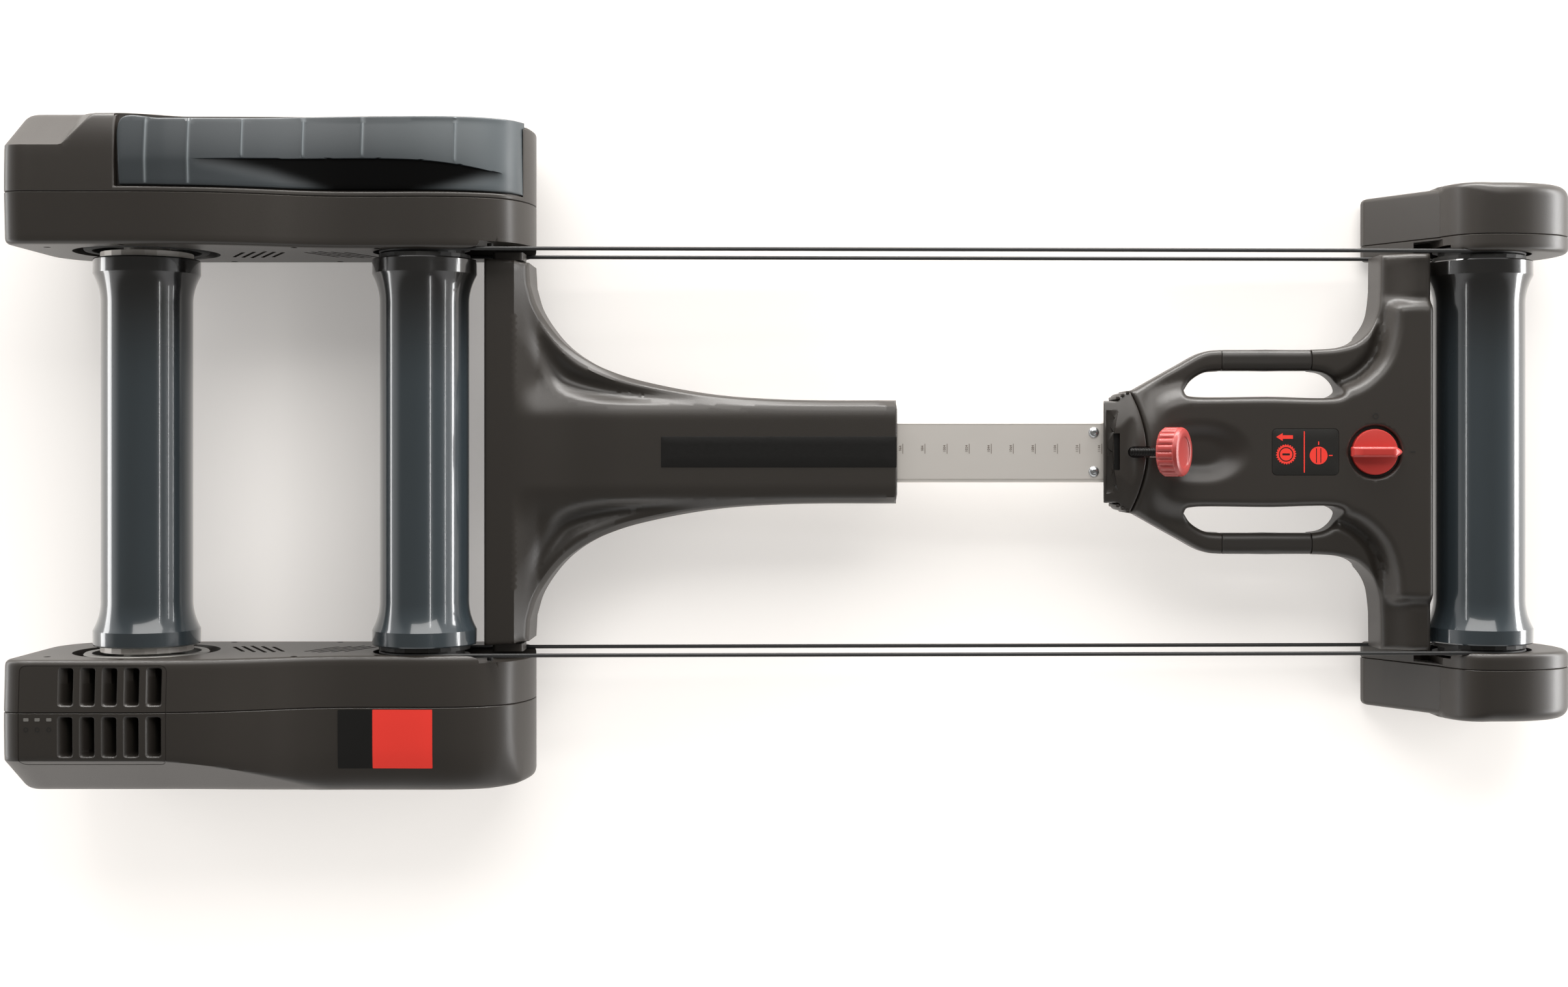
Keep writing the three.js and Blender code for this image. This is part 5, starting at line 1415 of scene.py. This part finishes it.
def housing():
    holes = hand_holes()

    def top(u, v, d):
        rim = np.where(nearest(np.column_stack([u, v]), holes) < d + 0.01, HOLE_ROUND, HOUSING_ROUND)
        return front_height(u, v) - round_edge(d, rim)

    def bottom(u, v, d):
        base, ceiling = housing_base(u, v), front_height(u, v) - HOUSING_WALL
        arm = (np.abs(v) > 48) & (u < ARM_FRONT_X)
        hollow = np.minimum(base + 60, ceiling - round_edge(np.maximum(d - 4, 0), 3))
        by_dial = np.hypot(u - DIAL_X, v) < DIAL_WALL
        hollow = np.where(by_dial, np.minimum(hollow, DIAL_CEILING), hollow)
        return np.where(arm | (d < HOUSING_WALL), base, hollow)

    body = relief("housing_body", front_outline(), top, bottom, cell=3, holes=holes, rows=6, sharp=42,
                  rings=[0.15, 0.5, 1.1, 1.9, 3, 3.95, 4.15, 5.2, 6.5])
    x0, x1, y0, y1 = LABEL
    label_line = rectangle(x0 - 0.5, x1 + 0.5, y0 - 0.5, y1 + 0.5, 4.5)
    pocket = prism("cutter", label_line, CUT_TOP, HOUSING_TOP - 0.6, cell=30)
    body = carve(body, [screw_slot_cutter(), dial_recess(), pocket], 42)
    body = carve(body, [block(*BORE)], 42)
    body = carve(body, [arm_cutter(side) for _, side in SIDES], 42)
    return joined([body, *(arm_core(side) for _, side in SIDES)], sharp=42)


# Grips, each a sleeve on the bar of an arm


def arm_cutter(side):
    (x0, x1), (z0, z1) = GRIP_X, GRIP_Z
    y0, y1 = sorted((side * (GRIP_Y[0] - 2.5), side * (GRIP_Y[1] + 3)))
    return block(x0 - 0.3, x1 + 0.3, y0, y1, z0 - 6, z1 + 6)


def arm_core(side):
    """The bar inside a grip, which joins the two ends of an arm."""
    y0, y1 = sorted((side * (GRIP_Y[0] + 3.6), side * (GRIP_Y[1] - 3.6)))
    return bar_along_x("core", rectangle(y0, y1, *CORE_Z, 2, 1), GRIP_X[0] - 4, GRIP_X[1] + 4)


def grip_sleeve(name, side):
    """A soft sleeve round the arm's bar, with rounded ends that meet the arm's seams."""
    (x0, x1), (y0, y1), (z0, z1) = GRIP_X, GRIP_Y, GRIP_Z
    ends = ((0, -1.1), (0.3, -0.5), (0.9, -0.1), (2, 0))
    rear = [(x0 + run, grow) for run, grow in ends]
    middle = [(x0 + 25, 0.0), ((x0 + x1) / 2, GRIP_SWELL), (x1 - 25, 0.0)]
    front = [(x1 - run, grow) for run, grow in ends[::-1]]
    rims = []
    for x, grow in (*rear, *middle, *front):
        half_y, half_z = (y1 - y0) / 2 + grow, (z1 - z0) / 2 + grow
        rims.append((x, rectangle(-half_y, half_y, -half_z, half_z, GRIP_ROUND, 1.2)))
    count = min(len(line) for _, line in rims)
    centre = (side * (y0 + y1) / 2, (z0 + z1) / 2 - 0.3)
    sections = []
    for x, line in rims:
        picked = line[np.round(np.linspace(0, len(line) - 1, count)).astype(int)]
        sections.append(np.column_stack([np.full(count, x), picked + centre]))
    core_y = sorted((side * (y0 + 3.5), side * (y1 - 3.5)))
    core = block(x0 - 5, x1 + 5, *core_y, CORE_Z[0] - 0.1, CORE_Z[1] + 0.1)
    return carve(lofted(name, sections, 40), [core], 40)


# Collar

COLLAR_REAR_X = 267.0
COLLAR_REAR_HALF = 45.5
COLLAR_SIDE = [
    (293.4, 55), (286, 52.5), (283.5, 47.6), (281, 46.2), (267.5, 46), (COLLAR_REAR_X, COLLAR_REAR_HALF),
]
COLLAR_TOP = 110.5
COLLAR_FOOT = 44.0
COLLAR_LEAN = 0.18
COLLAR_ROUND = 1.8
COLLAR_BORE = (255, 320, -28.0, 28.0, 54.6, 100.35)
TROUGH = (270.6, 283.0, 39.5)
TROUGH_FLOOR = 102.0
INNER_RIDGE = [(-39, 0), (-30, 2.6), (-18, 5.0), (0, 6.0), (18, 5.0), (30, 2.6), (39, 0)]
TOOTH_FIRST = (280.5, 50.4)
TOOTH_STEP = (4.6, 2.4)
TOOTH_LENGTH = 3.2
TOOTH_TOP = 100.0


def undercut(points):
    """The collar's rear face leans forward towards its foot."""
    out = points.copy()
    out[:, 0] += COLLAR_LEAN * (HOUSING_TOP - points[:, 2]) * np.clip((283 - points[:, 0]) / 16, 0, 1)
    return out


def collar_trough():
    x0, x1, half = TROUGH
    line = loop(straight([(x0, half), (x0, -half)], 3), [(x1 - bulge, y) for y, bulge in INNER_RIDGE])
    return relief("cutter", line, level(CUT_TOP),
                  lambda u, v, d: TROUGH_FLOOR + 1.2 * (1 - np.clip(d / 1.2, 0, 1)), rings=[0.6, 1.2], cell=4)


def collar():
    rear = straight([(COLLAR_REAR_X, 0), (COLLAR_REAR_X, COLLAR_REAR_HALF)], 3)
    outline = mirrored(loop(rear, spline(COLLAR_SIDE[::-1], 2)[1:], seam_line(-0.25, 55)[::-1][1:]))

    def top(u, v, d):
        front, hump = front_height(u, v), ease((u - 279) / 16)
        return np.minimum(COLLAR_TOP * (1 - hump) + front * hump, front) - round_edge(d, COLLAR_ROUND)

    body = relief("collar_body", outline, top, level(COLLAR_FOOT), rings=[0.15, 0.5, 1.1, 1.8], cell=2.2,
                  rows=5, shape=undercut, sharp=40)
    dark = prism("cutter", rectangle(*DARK_SLOT, 0.6), CUT_TOP, SLOT_FLOOR)
    for cutters in ([collar_trough(), screw_slot_cutter()], [dark], [block(*COLLAR_BORE)]):
        body = carve(body, cutters, 40)
    return body


def slot_shade_plates():
    """Black plates at the bottoms of the collar's two slots: painted shade that keeps the slots dark."""
    x0, _, y0, y1 = SCREW_SLOT
    lines = (rectangle(x0 + 0.1, seam_x(0) - 0.6, y0 + 0.1, y1 - 0.1, 2), rectangle(*DARK_SLOT, 0.6))
    shade_plates = [prism("floor", line, SLOT_FLOOR + 0.25, SLOT_FLOOR - 0.3) for line in lines]
    return joined(shade_plates, "slot_painted_shade")


def collar_teeth(name, side):
    """Three small ribs at the collar's shoulder, where the bands clamp."""
    parts = []
    for k in range(3):
        x, y = (first + step * k for first, step in zip(TOOTH_FIRST, TOOTH_STEP))
        line = rectangle(x, x + TOOTH_LENGTH, *sorted((side * (y - 3), side * y)), 0.8, 0.6)
        parts.append(relief("tooth", line, lambda u, v, d: TOOTH_TOP - round_edge(d, 0.7), level(60),
                            rings=[0.3, 0.7], cell=3))
    return joined(parts, name)


# Clamp knob with its screw, and lock dial

KNOB_X, KNOB_Z = 326.6, 132.0
KNOB_TILT = math.radians(31)
KNOB_RIBS = 20
RIB_DEPTH = 1.5
SCREW_START = -41.5
SCREW_TURNS = 18
SCREW_PITCH = 1.5
DIAL_TOP = 112.6
DIAL_BAR_TOP = 123.6


def tilted(piece):
    """A piece made round the origin, moved to the knob's place and slope."""
    piece.data.transform(Matrix.Rotation(-KNOB_TILT, 4, "Y"))
    piece.data.transform(Matrix.Translation((KNOB_X * MM, 0, KNOB_Z * MM)))
    return piece


def front_screw():
    """The clamp's threaded bar, along the knob's axis."""
    profile = [(ON_AXIS, SCREW_START + 1), (2.6, SCREW_START + 1)]
    for k in range(SCREW_TURNS):
        x = SCREW_START + 2 + SCREW_PITCH * k
        profile.extend([(3.9, x), (3.9, x + 0.35), (3.2, x + 0.75), (3.2, x + 1.1)])
    profile.extend([(3.8, -11.4), (ON_AXIS, -11.2)])
    return tilted(turned("clamp_screw_bar", profile, (0, 0, 0), "x", 24, 25))


def knob():
    """A ribbed knob with a smooth front rim and a sunk face."""
    profile = [
        (ON_AXIS, -10.5), (17.5, -10.5), (20.3, -9.6), (21.4, -8), (22.0, -7.2), (22.0, -3), (22.0, 1),
        (22.0, 4.6), (21.7, 5.6), (21.9, 6.4), (21.7, 7.6), (20.6, 9.3), (18.6, 10.3), (17.2, 10.5),
        (15, 10.4), (13.8, 9.9), (13.2, 9.0), (12.4, 8.7), (ON_AXIS, 8.7),
    ]
    ribbed = np.zeros(len(profile))
    ribbed[2:9] = (0.2, 0.8, 1, 1, 1, 1, 0.35)

    def ripple(line, angle):
        wave = abs(math.sin(KNOB_RIBS * angle / 2))
        return line[:, 0] - ribbed * RIB_DEPTH * (1 - wave) ** 1.6

    return tilted(turned("clamp_knob_cap", profile, (0, 0, 0), "x", 16 * KNOB_RIBS, 28, ripple))


def dial():
    """A disc with a bar across it, pointed at its front end."""
    profile = [
        (ON_AXIS, 106.4), (DIAL_RADIUS - 0.4, 106.4), (DIAL_RADIUS, 106.9), (DIAL_RADIUS, 111.4),
        (DIAL_RADIUS - 0.5, 112.3), (DIAL_RADIUS - 1.5, DIAL_TOP), (ON_AXIS, DIAL_TOP),
    ]
    disc = turned("lock_dial_disc", profile, (DIAL_X, 0, 0), "z", 96, 40)
    bar = [(-22.2, -4.6), (15.5, -4.6), (21.2, -2.2), (23.2, 0), (21.2, 2.2), (15.5, 4.6), (-22.2, 4.6)]
    line = rounded([(DIAL_X + x, y) for x, y in bar], [1.2, 2, 1, 0.6, 1, 2, 1.2], 1)

    def top(u, v, d):
        return DIAL_BAR_TOP - 1.6 * ease(1 - d / 1.8) - 6.5 * ease((np.abs(u - DIAL_X) - 13) / 12)

    handle = relief("lock_dial_bar", line, top, level(DIAL_TOP - 0.4), rings=[0.4, 0.9, 1.4, 1.8], cell=1.8,
                    sharp=30)
    return joined([disc, handle], "lock_dial_cap", 32)


# Marks on the front section

SIGN_BAR = (447.2, 448.2, -18.6, 18.6)
ARROW = [(428.3, 9.8), (428.3, 11.8), (437.5, 11.8), (437.5, 15), (428.3, 15), (428.3, 17), (422.5, 13.4)]
WHEEL = (431.4, -2.2)
WHEEL_RADIUS = 8.6
WHEEL_TEETH = 24
DIAL_SIGN = (460.6, -3.2)
MARK_RING = (DIAL_X + 0.3, 32.2)
MARK_DASH = (543.0, 547.6, -0.5, 0.5)


def around(middle, x0, x1, y0, y1, radius, step=1):
    """A rectangle whose sides are given from a middle."""
    x, y = middle
    return rectangle(x + x0, x + x1, y + y0, y + y1, radius, step)


def toothed_wheel(count=160):
    turn = np.arange(count) * 2 * math.pi / count
    wave = np.sin(WHEEL_TEETH * turn)
    radius = WHEEL_RADIUS + 0.45 * np.sign(wave) * (np.abs(wave) > 0.3)
    return np.column_stack([WHEEL[0] + radius * np.cos(turn), WHEEL[1] + radius * np.sin(turn)])


def label_marks():
    """Plain signs on the label: a line, an arrow, a toothed wheel and a dial."""
    dial_bars = [around(DIAL_SIGN, x, x + 0.8, -6.6, 6.6, 0.3, 2) for x in (-2.4, 1.6)]
    signs = (
        (rectangle(*SIGN_BAR, 0.3, 2), []),
        (ARROW, []),
        (toothed_wheel(), [circle(*WHEEL, 6.6, 48)]),
        (circle(*WHEEL, 5.6, 48), [around(WHEEL, -3.4, 3.4, -0.9, 0.9, 0.4)]),
        (circle(*DIAL_SIGN, 8.0, 64), dial_bars),
        (around(DIAL_SIGN, -0.5, 0.5, 9.4, 12.6, 0.3), []),
        (around(DIAL_SIGN, 9.2, 12.6, -0.5, 0.5, 0.3), []),
    )
    made = [prism("sign", line, LABEL_TOP + 0.16, LABEL_TOP - 0.2, holes=[h[::-1] for h in holes], cell=30)
            for line, holes in signs]
    return joined(made, "label_signs")


def housing_marks():
    """Raised marks by the dial: a ring for one end of its turn and a dash for the other."""
    ring, hole = (circle(*MARK_RING, radius, 40) for radius in (2.7, 2.0))
    marks = ((ring, [hole[::-1]]), (rectangle(*MARK_DASH, 0.3, 1), []))
    made = [prism("mark", line, HOUSING_TOP + 0.2, HOUSING_TOP - 0.4, holes=holes, cell=10)
            for line, holes in marks]
    return joined(made, "dial_marks")


def make_front():
    place(collar(), "front_frame", "shell", "collar")
    place(housing(), "front_frame", "shell", "front_housing")
    # Black plates in the collar's slots, as painted shade.
    place(slot_shade_plates(), "front_frame", "dark_plastic", look="black_strip")
    for name, side in SIDES:
        place(collar_teeth(f"collar_teeth_{name}", side), "front_frame", "shell")
        place(grip_sleeve(f"grip_{name}_sleeve", side), "front_frame", "grip", f"grip_{name}")
    plate = relief("label_film", rectangle(*LABEL, 4), lambda u, v, d: LABEL_TOP - round_edge(d, 0.2),
                   level(LABEL_TOP - 0.5), rings=[0.1, 0.2], cell=12)
    place(plate, "front_frame", "label", "label_plate")
    place(label_marks(), "front_frame", "label", look="mark_red")
    place(housing_marks(), "front_frame", "dark_plastic")
    # The clamp's screw gets the black steel look as painted shade, for the shadow in its slot.
    place(front_screw(), "clamp_screw", "steel", "clamp_screw", look="black_steel")
    place(knob(), "clamp_knob", "knob_red", "clamp_knob")
    place(dial(), "lock_dial", "dial_red", "lock_dial")


# Pods

POD_TAIL = [(0.004, 0), (0, 0.03), (0.004, 0.085), (0.288, 0.7)]
POD_HEAD = [
    (0.285, 0.716), (0.318, 0.83), (0.36, 0.915), (0.432, 0.983), (0.55, 1), (0.716, 0.975), (0.87, 0.881),
    (0.964, 0.746), (1, 0.576), (0.994, 0.373), (0.953, 0.186), (0.87, 0.05), (0.775, 0),
]
POD_STEP_X = 578.0
POD_STEP = 2.4
POD_REACH = 240.0
POD_SEAM = 195.0
POD_BEVEL = 0.6
TAIL_ROUND = 5.5
HEAD_ROUND = 8.0
ROUND_POWER = 2.3
POD_RECESS = 45.5
NOTCH = [(561.5, 34), (578.5, 58), (578.5, 130), (561.5, 130)]
NOTCH_Y = 193.2


def pod_outline():
    tail, head = (shares(table, POD_X, POD_LENGTH, POD_BOTTOM, POD_HEIGHT) for table in (POD_TAIL, POD_HEAD))
    tail, head = straight(tail, 2), spline(head, 2)
    outline = loop(tail, head, straight([tuple(head[-1]), tuple(tail[0])], 6)[1:-1])
    outline[:, 0] = np.minimum(outline[:, 0], POD_X + POD_LENGTH)
    return outline


def pod_face(u, v, d):
    """How far out a pod reaches: the tail, and a head that stands a little proud of it."""
    reach = POD_REACH + POD_STEP * ease((u - POD_STEP_X) / 1.4)
    radius = TAIL_ROUND + ease((u - POD_X) / 45) + HEAD_ROUND * ease((u - POD_STEP_X - 6) / 38)
    t = np.clip(1 - d / radius, 0, 1)
    return reach - 0.9 * radius * (1 - (1 - t**ROUND_POWER) ** (1 / ROUND_POWER))


def pod_cutters(side):
    """The pulley's recess and the belt's notch in the tail."""
    sunk = (
        (circle(FRONT_AXLE_X, FRONT_AXLE_Z, POD_RECESS), WALL_Y + WALL_DEPTH),
        (rounded(NOTCH, 2.5, 1), NOTCH_Y),
    )
    return [prism("cutter", line, side * (WALL_Y - CUT_START), side * floor, "xz", cell=30)
            for line, floor in sunk]


def make_pods():
    outline = pod_outline()
    creases = [straight([(x, POD_BOTTOM + 4), (x, 76)], 3) for x in (POD_STEP_X + np.array([0, 0.7, 1.4]))]
    for name, side in SIDES:
        inner = relief(f"{name}_pod_inner_case", outline, bevelled(POD_SEAM, POD_BEVEL), inner_wall,
                       "xz", side, rings=[0.3, 0.6, 1.2, 2.2, 3.5, 5], cell=6, rows=4)
        for cutter in pod_cutters(side):
            inner = carve(inner, [cutter])
        outer = relief(f"{name}_pod_outer_case", outline, pod_face,
                       bevelled(POD_SEAM + SEAM_GAP, -POD_BEVEL), "xz", side, cell=4, lines=creases, rows=6,
                       rings=[0.05, 0.2, 0.5, 1, 1.8, 2.8, 4, 5.5, 7.2, 9.2, 11.5, 14, 17])
        place(inner, "front_frame", "shell", f"pod_inner_{name}")
        place(outer, "front_frame", "shell", f"pod_outer_{name}")


# Looks of the pieces that stay as they are


def dress_nodes():
    slots = {row["node"]: row["material_slot"] for row in frame["record"]["subparts"]}
    for name, node in nodes.items():
        node.data.materials.clear()
        node.data.materials.append(LOOKS[slots[name]])


# Camera, light and floor

PHOTO_WIDTH = 2408
PHOTO_FOCAL = 2969
PHOTO_MIDDLE_Y = 757.5
PHOTO_AXIS_Y = 693.7
SENSOR_WIDTH = 36
CAMERA_PLACE = (-0.020, 0, 1.85)
FLOOR_HALF = 6000
FLOOR_THICK = 20
FLOOR_GLOW = 0.22
FLOOR_COLOUR = (0.86, 0.835, 0.81, 1)
GLOW_COLOUR = (1, 0.965, 0.94, 1)
SKY_FADE = (0.3, 0.62)
SKY_TOP = (0.2, 0.195, 0.185, 1)
STRIP_SIZE = (0.36, 0.012)
STRIP_POWER = 0.22
STRIP_THROW = 400
WARM = (1, 0.985, 0.965)
KEY = ("key", (0.1, 1.6, 1.7), (0, 0, 0.05), (2.6, 1.2), 38, WARM)
PANELS = (
    ("back", (0, 1.9, 0.22), (0, 0, 0.15), (3.2, 0.4), 95, WARM),
    ("rear", (-1.75, 0.1, 0.16), (-0.5, 0, 0.12), (1.8, 0.3), 12),
    ("front", (1.75, 0.1, 0.16), (0.5, 0, 0.1), (1.8, 0.3), 27),
    ("fill", (0, -1.9, 0.3), (0, 0, 0.1), (2.6, 0.4), 2),
)
FLOOR_LAMPS = (
    ("back", (0, 2.4, 0.7), (3.6, 0.8), 50),
    ("right", (0, -2.4, 0.7), (3.6, 0.8), 62),
    ("rear", (-2.6, 0, 0.7), (2.4, 0.8), 28),
    ("front", (2.6, 0, 0.7), (2.4, 0.8), 40),
)
STRIPS = (
    ("rear", REAR_AXLE_X + 420, 480, -1),
    ("mid", MID_AXLE_X + 500, 360, -1),
    ("front", FRONT_AXLE_X - 440, 440, 1),
)


def area_light(name, where, towards, size, power, colour=(1, 1, 1)):
    data = bpy.data.lights.new(name, "AREA")
    data.shape = "RECTANGLE"
    data.size, data.size_y = size
    data.energy = power
    data.color = colour
    lamp = bpy.data.objects.new(name, data)
    lamp.location = where
    lamp.rotation_euler = (Vector(towards) - Vector(where)).to_track_quat("-Z", "Y").to_euler()
    lamp.visible_camera = False
    bpy.context.scene.collection.objects.link(lamp)
    return lamp


def only(name, *pieces):
    """A collection of the pieces that a lamp lights."""
    made = bpy.data.collections.new(name)
    for piece in pieces:
        made.objects.link(piece)
    return made


def make_world():
    """A studio that is white at the horizon and below, and dim overhead."""
    world = bpy.data.worlds.new("studio")
    bpy.context.scene.world = world
    world.use_nodes = True
    tree = world.node_tree
    where = add_node(tree, "ShaderNodeTexCoord").outputs["Generated"]
    height = add_node(tree, "ShaderNodeSeparateXYZ", {"Vector": where}).outputs["Z"]
    fade = add_node(tree, "ShaderNodeValToRGB", {"Fac": height})
    fade.color_ramp.interpolation = "EASE"
    low, high = fade.color_ramp.elements
    low.position, high.position = SKY_FADE
    low.color, high.color = (1, 1, 1, 1), SKY_TOP
    feed(tree, tree.nodes["Background"], {"Color": fade.outputs["Color"], "Strength": 1.0})


def floor_finish():
    """A white floor that glows faintly for the camera, in reflections and through clear pieces."""
    mat = bpy.data.materials.new("floor_white")
    mat.use_nodes = True
    tree = mat.node_tree
    tree.nodes.remove(tree.nodes["Principled BSDF"])
    diffuse = add_node(tree, "ShaderNodeBsdfDiffuse", {"Color": FLOOR_COLOUR}).outputs[0]
    glow = add_node(tree, "ShaderNodeEmission", {"Color": GLOW_COLOUR, "Strength": FLOOR_GLOW})
    none = add_node(tree, "ShaderNodeEmission", {"Strength": 0.0})
    rays = add_node(tree, "ShaderNodeLightPath").outputs
    seen = rays["Is Camera Ray"]
    for kind in ("Is Glossy Ray", "Is Transmission Ray"):
        seen = add_node(tree, "ShaderNodeMath", {0: seen, 1: rays[kind]}, operation="MAXIMUM").outputs[0]
    pick = add_node(tree, "ShaderNodeMixShader", {0: seen, 1: none.outputs[0], 2: glow.outputs[0]})
    both = add_node(tree, "ShaderNodeAddShader", {0: diffuse, 1: pick.outputs[0]})
    feed(tree, tree.nodes["Material Output"], {"Surface": both.outputs[0]})
    return mat


def make_floor():
    piece = block(-FLOOR_HALF, FLOOR_HALF, -FLOOR_HALF, FLOOR_HALF, -FLOOR_THICK, 0, "floor")
    piece.data.materials.append(floor_finish())


def make_camera():
    data = bpy.data.cameras.new("camera")
    data.sensor_width = SENSOR_WIDTH
    data.lens = SENSOR_WIDTH * PHOTO_FOCAL / PHOTO_WIDTH
    data.shift_y = (PHOTO_AXIS_Y - PHOTO_MIDDLE_Y) / PHOTO_WIDTH
    data.clip_end = 50
    camera = bpy.data.objects.new("camera", data)
    camera.location = CAMERA_PLACE
    bpy.context.scene.collection.objects.link(camera)
    bpy.context.scene.camera = camera


def make_lights():
    """A key light for all, and panels, floor lamps and strips that each light only their own pieces."""
    area_light(*KEY)
    objects = bpy.data.objects
    meshes = [piece for piece in bpy.context.scene.objects if piece.type == "MESH" and piece.name != "floor"]
    rollers = only("rollers_only", *meshes)
    for name, *numbers in PANELS:
        area_light(f"panel_{name}", *numbers).light_linking.receiver_collection = rollers
    ground = only("floor_only", objects["floor"])
    for name, where, size, power in FLOOR_LAMPS:
        lamp = area_light(f"floor_{name}", where, (0, 0, 0), size, power, WARM)
        lamp.light_linking.receiver_collection = ground
    drums = only("drums_only", *(objects[f"{name}_drum_tube"] for name, *_ in DRUMS))
    for name, x, z, way in STRIPS:
        where, towards = (x * MM, 0, z * MM), ((x + way * STRIP_THROW) * MM, 0, 0.1)
        lamp = area_light(f"strip_{name}", where, towards, STRIP_SIZE, STRIP_POWER)
        lamp.light_linking.receiver_collection = drums


make_world()
make_floor()
make_camera()
dress_nodes()
make_boxes()
make_drums()
make_belts()
make_beam()
make_front()
make_pods()
make_lights()

bpy.context.scene.view_settings.view_transform = "Standard"
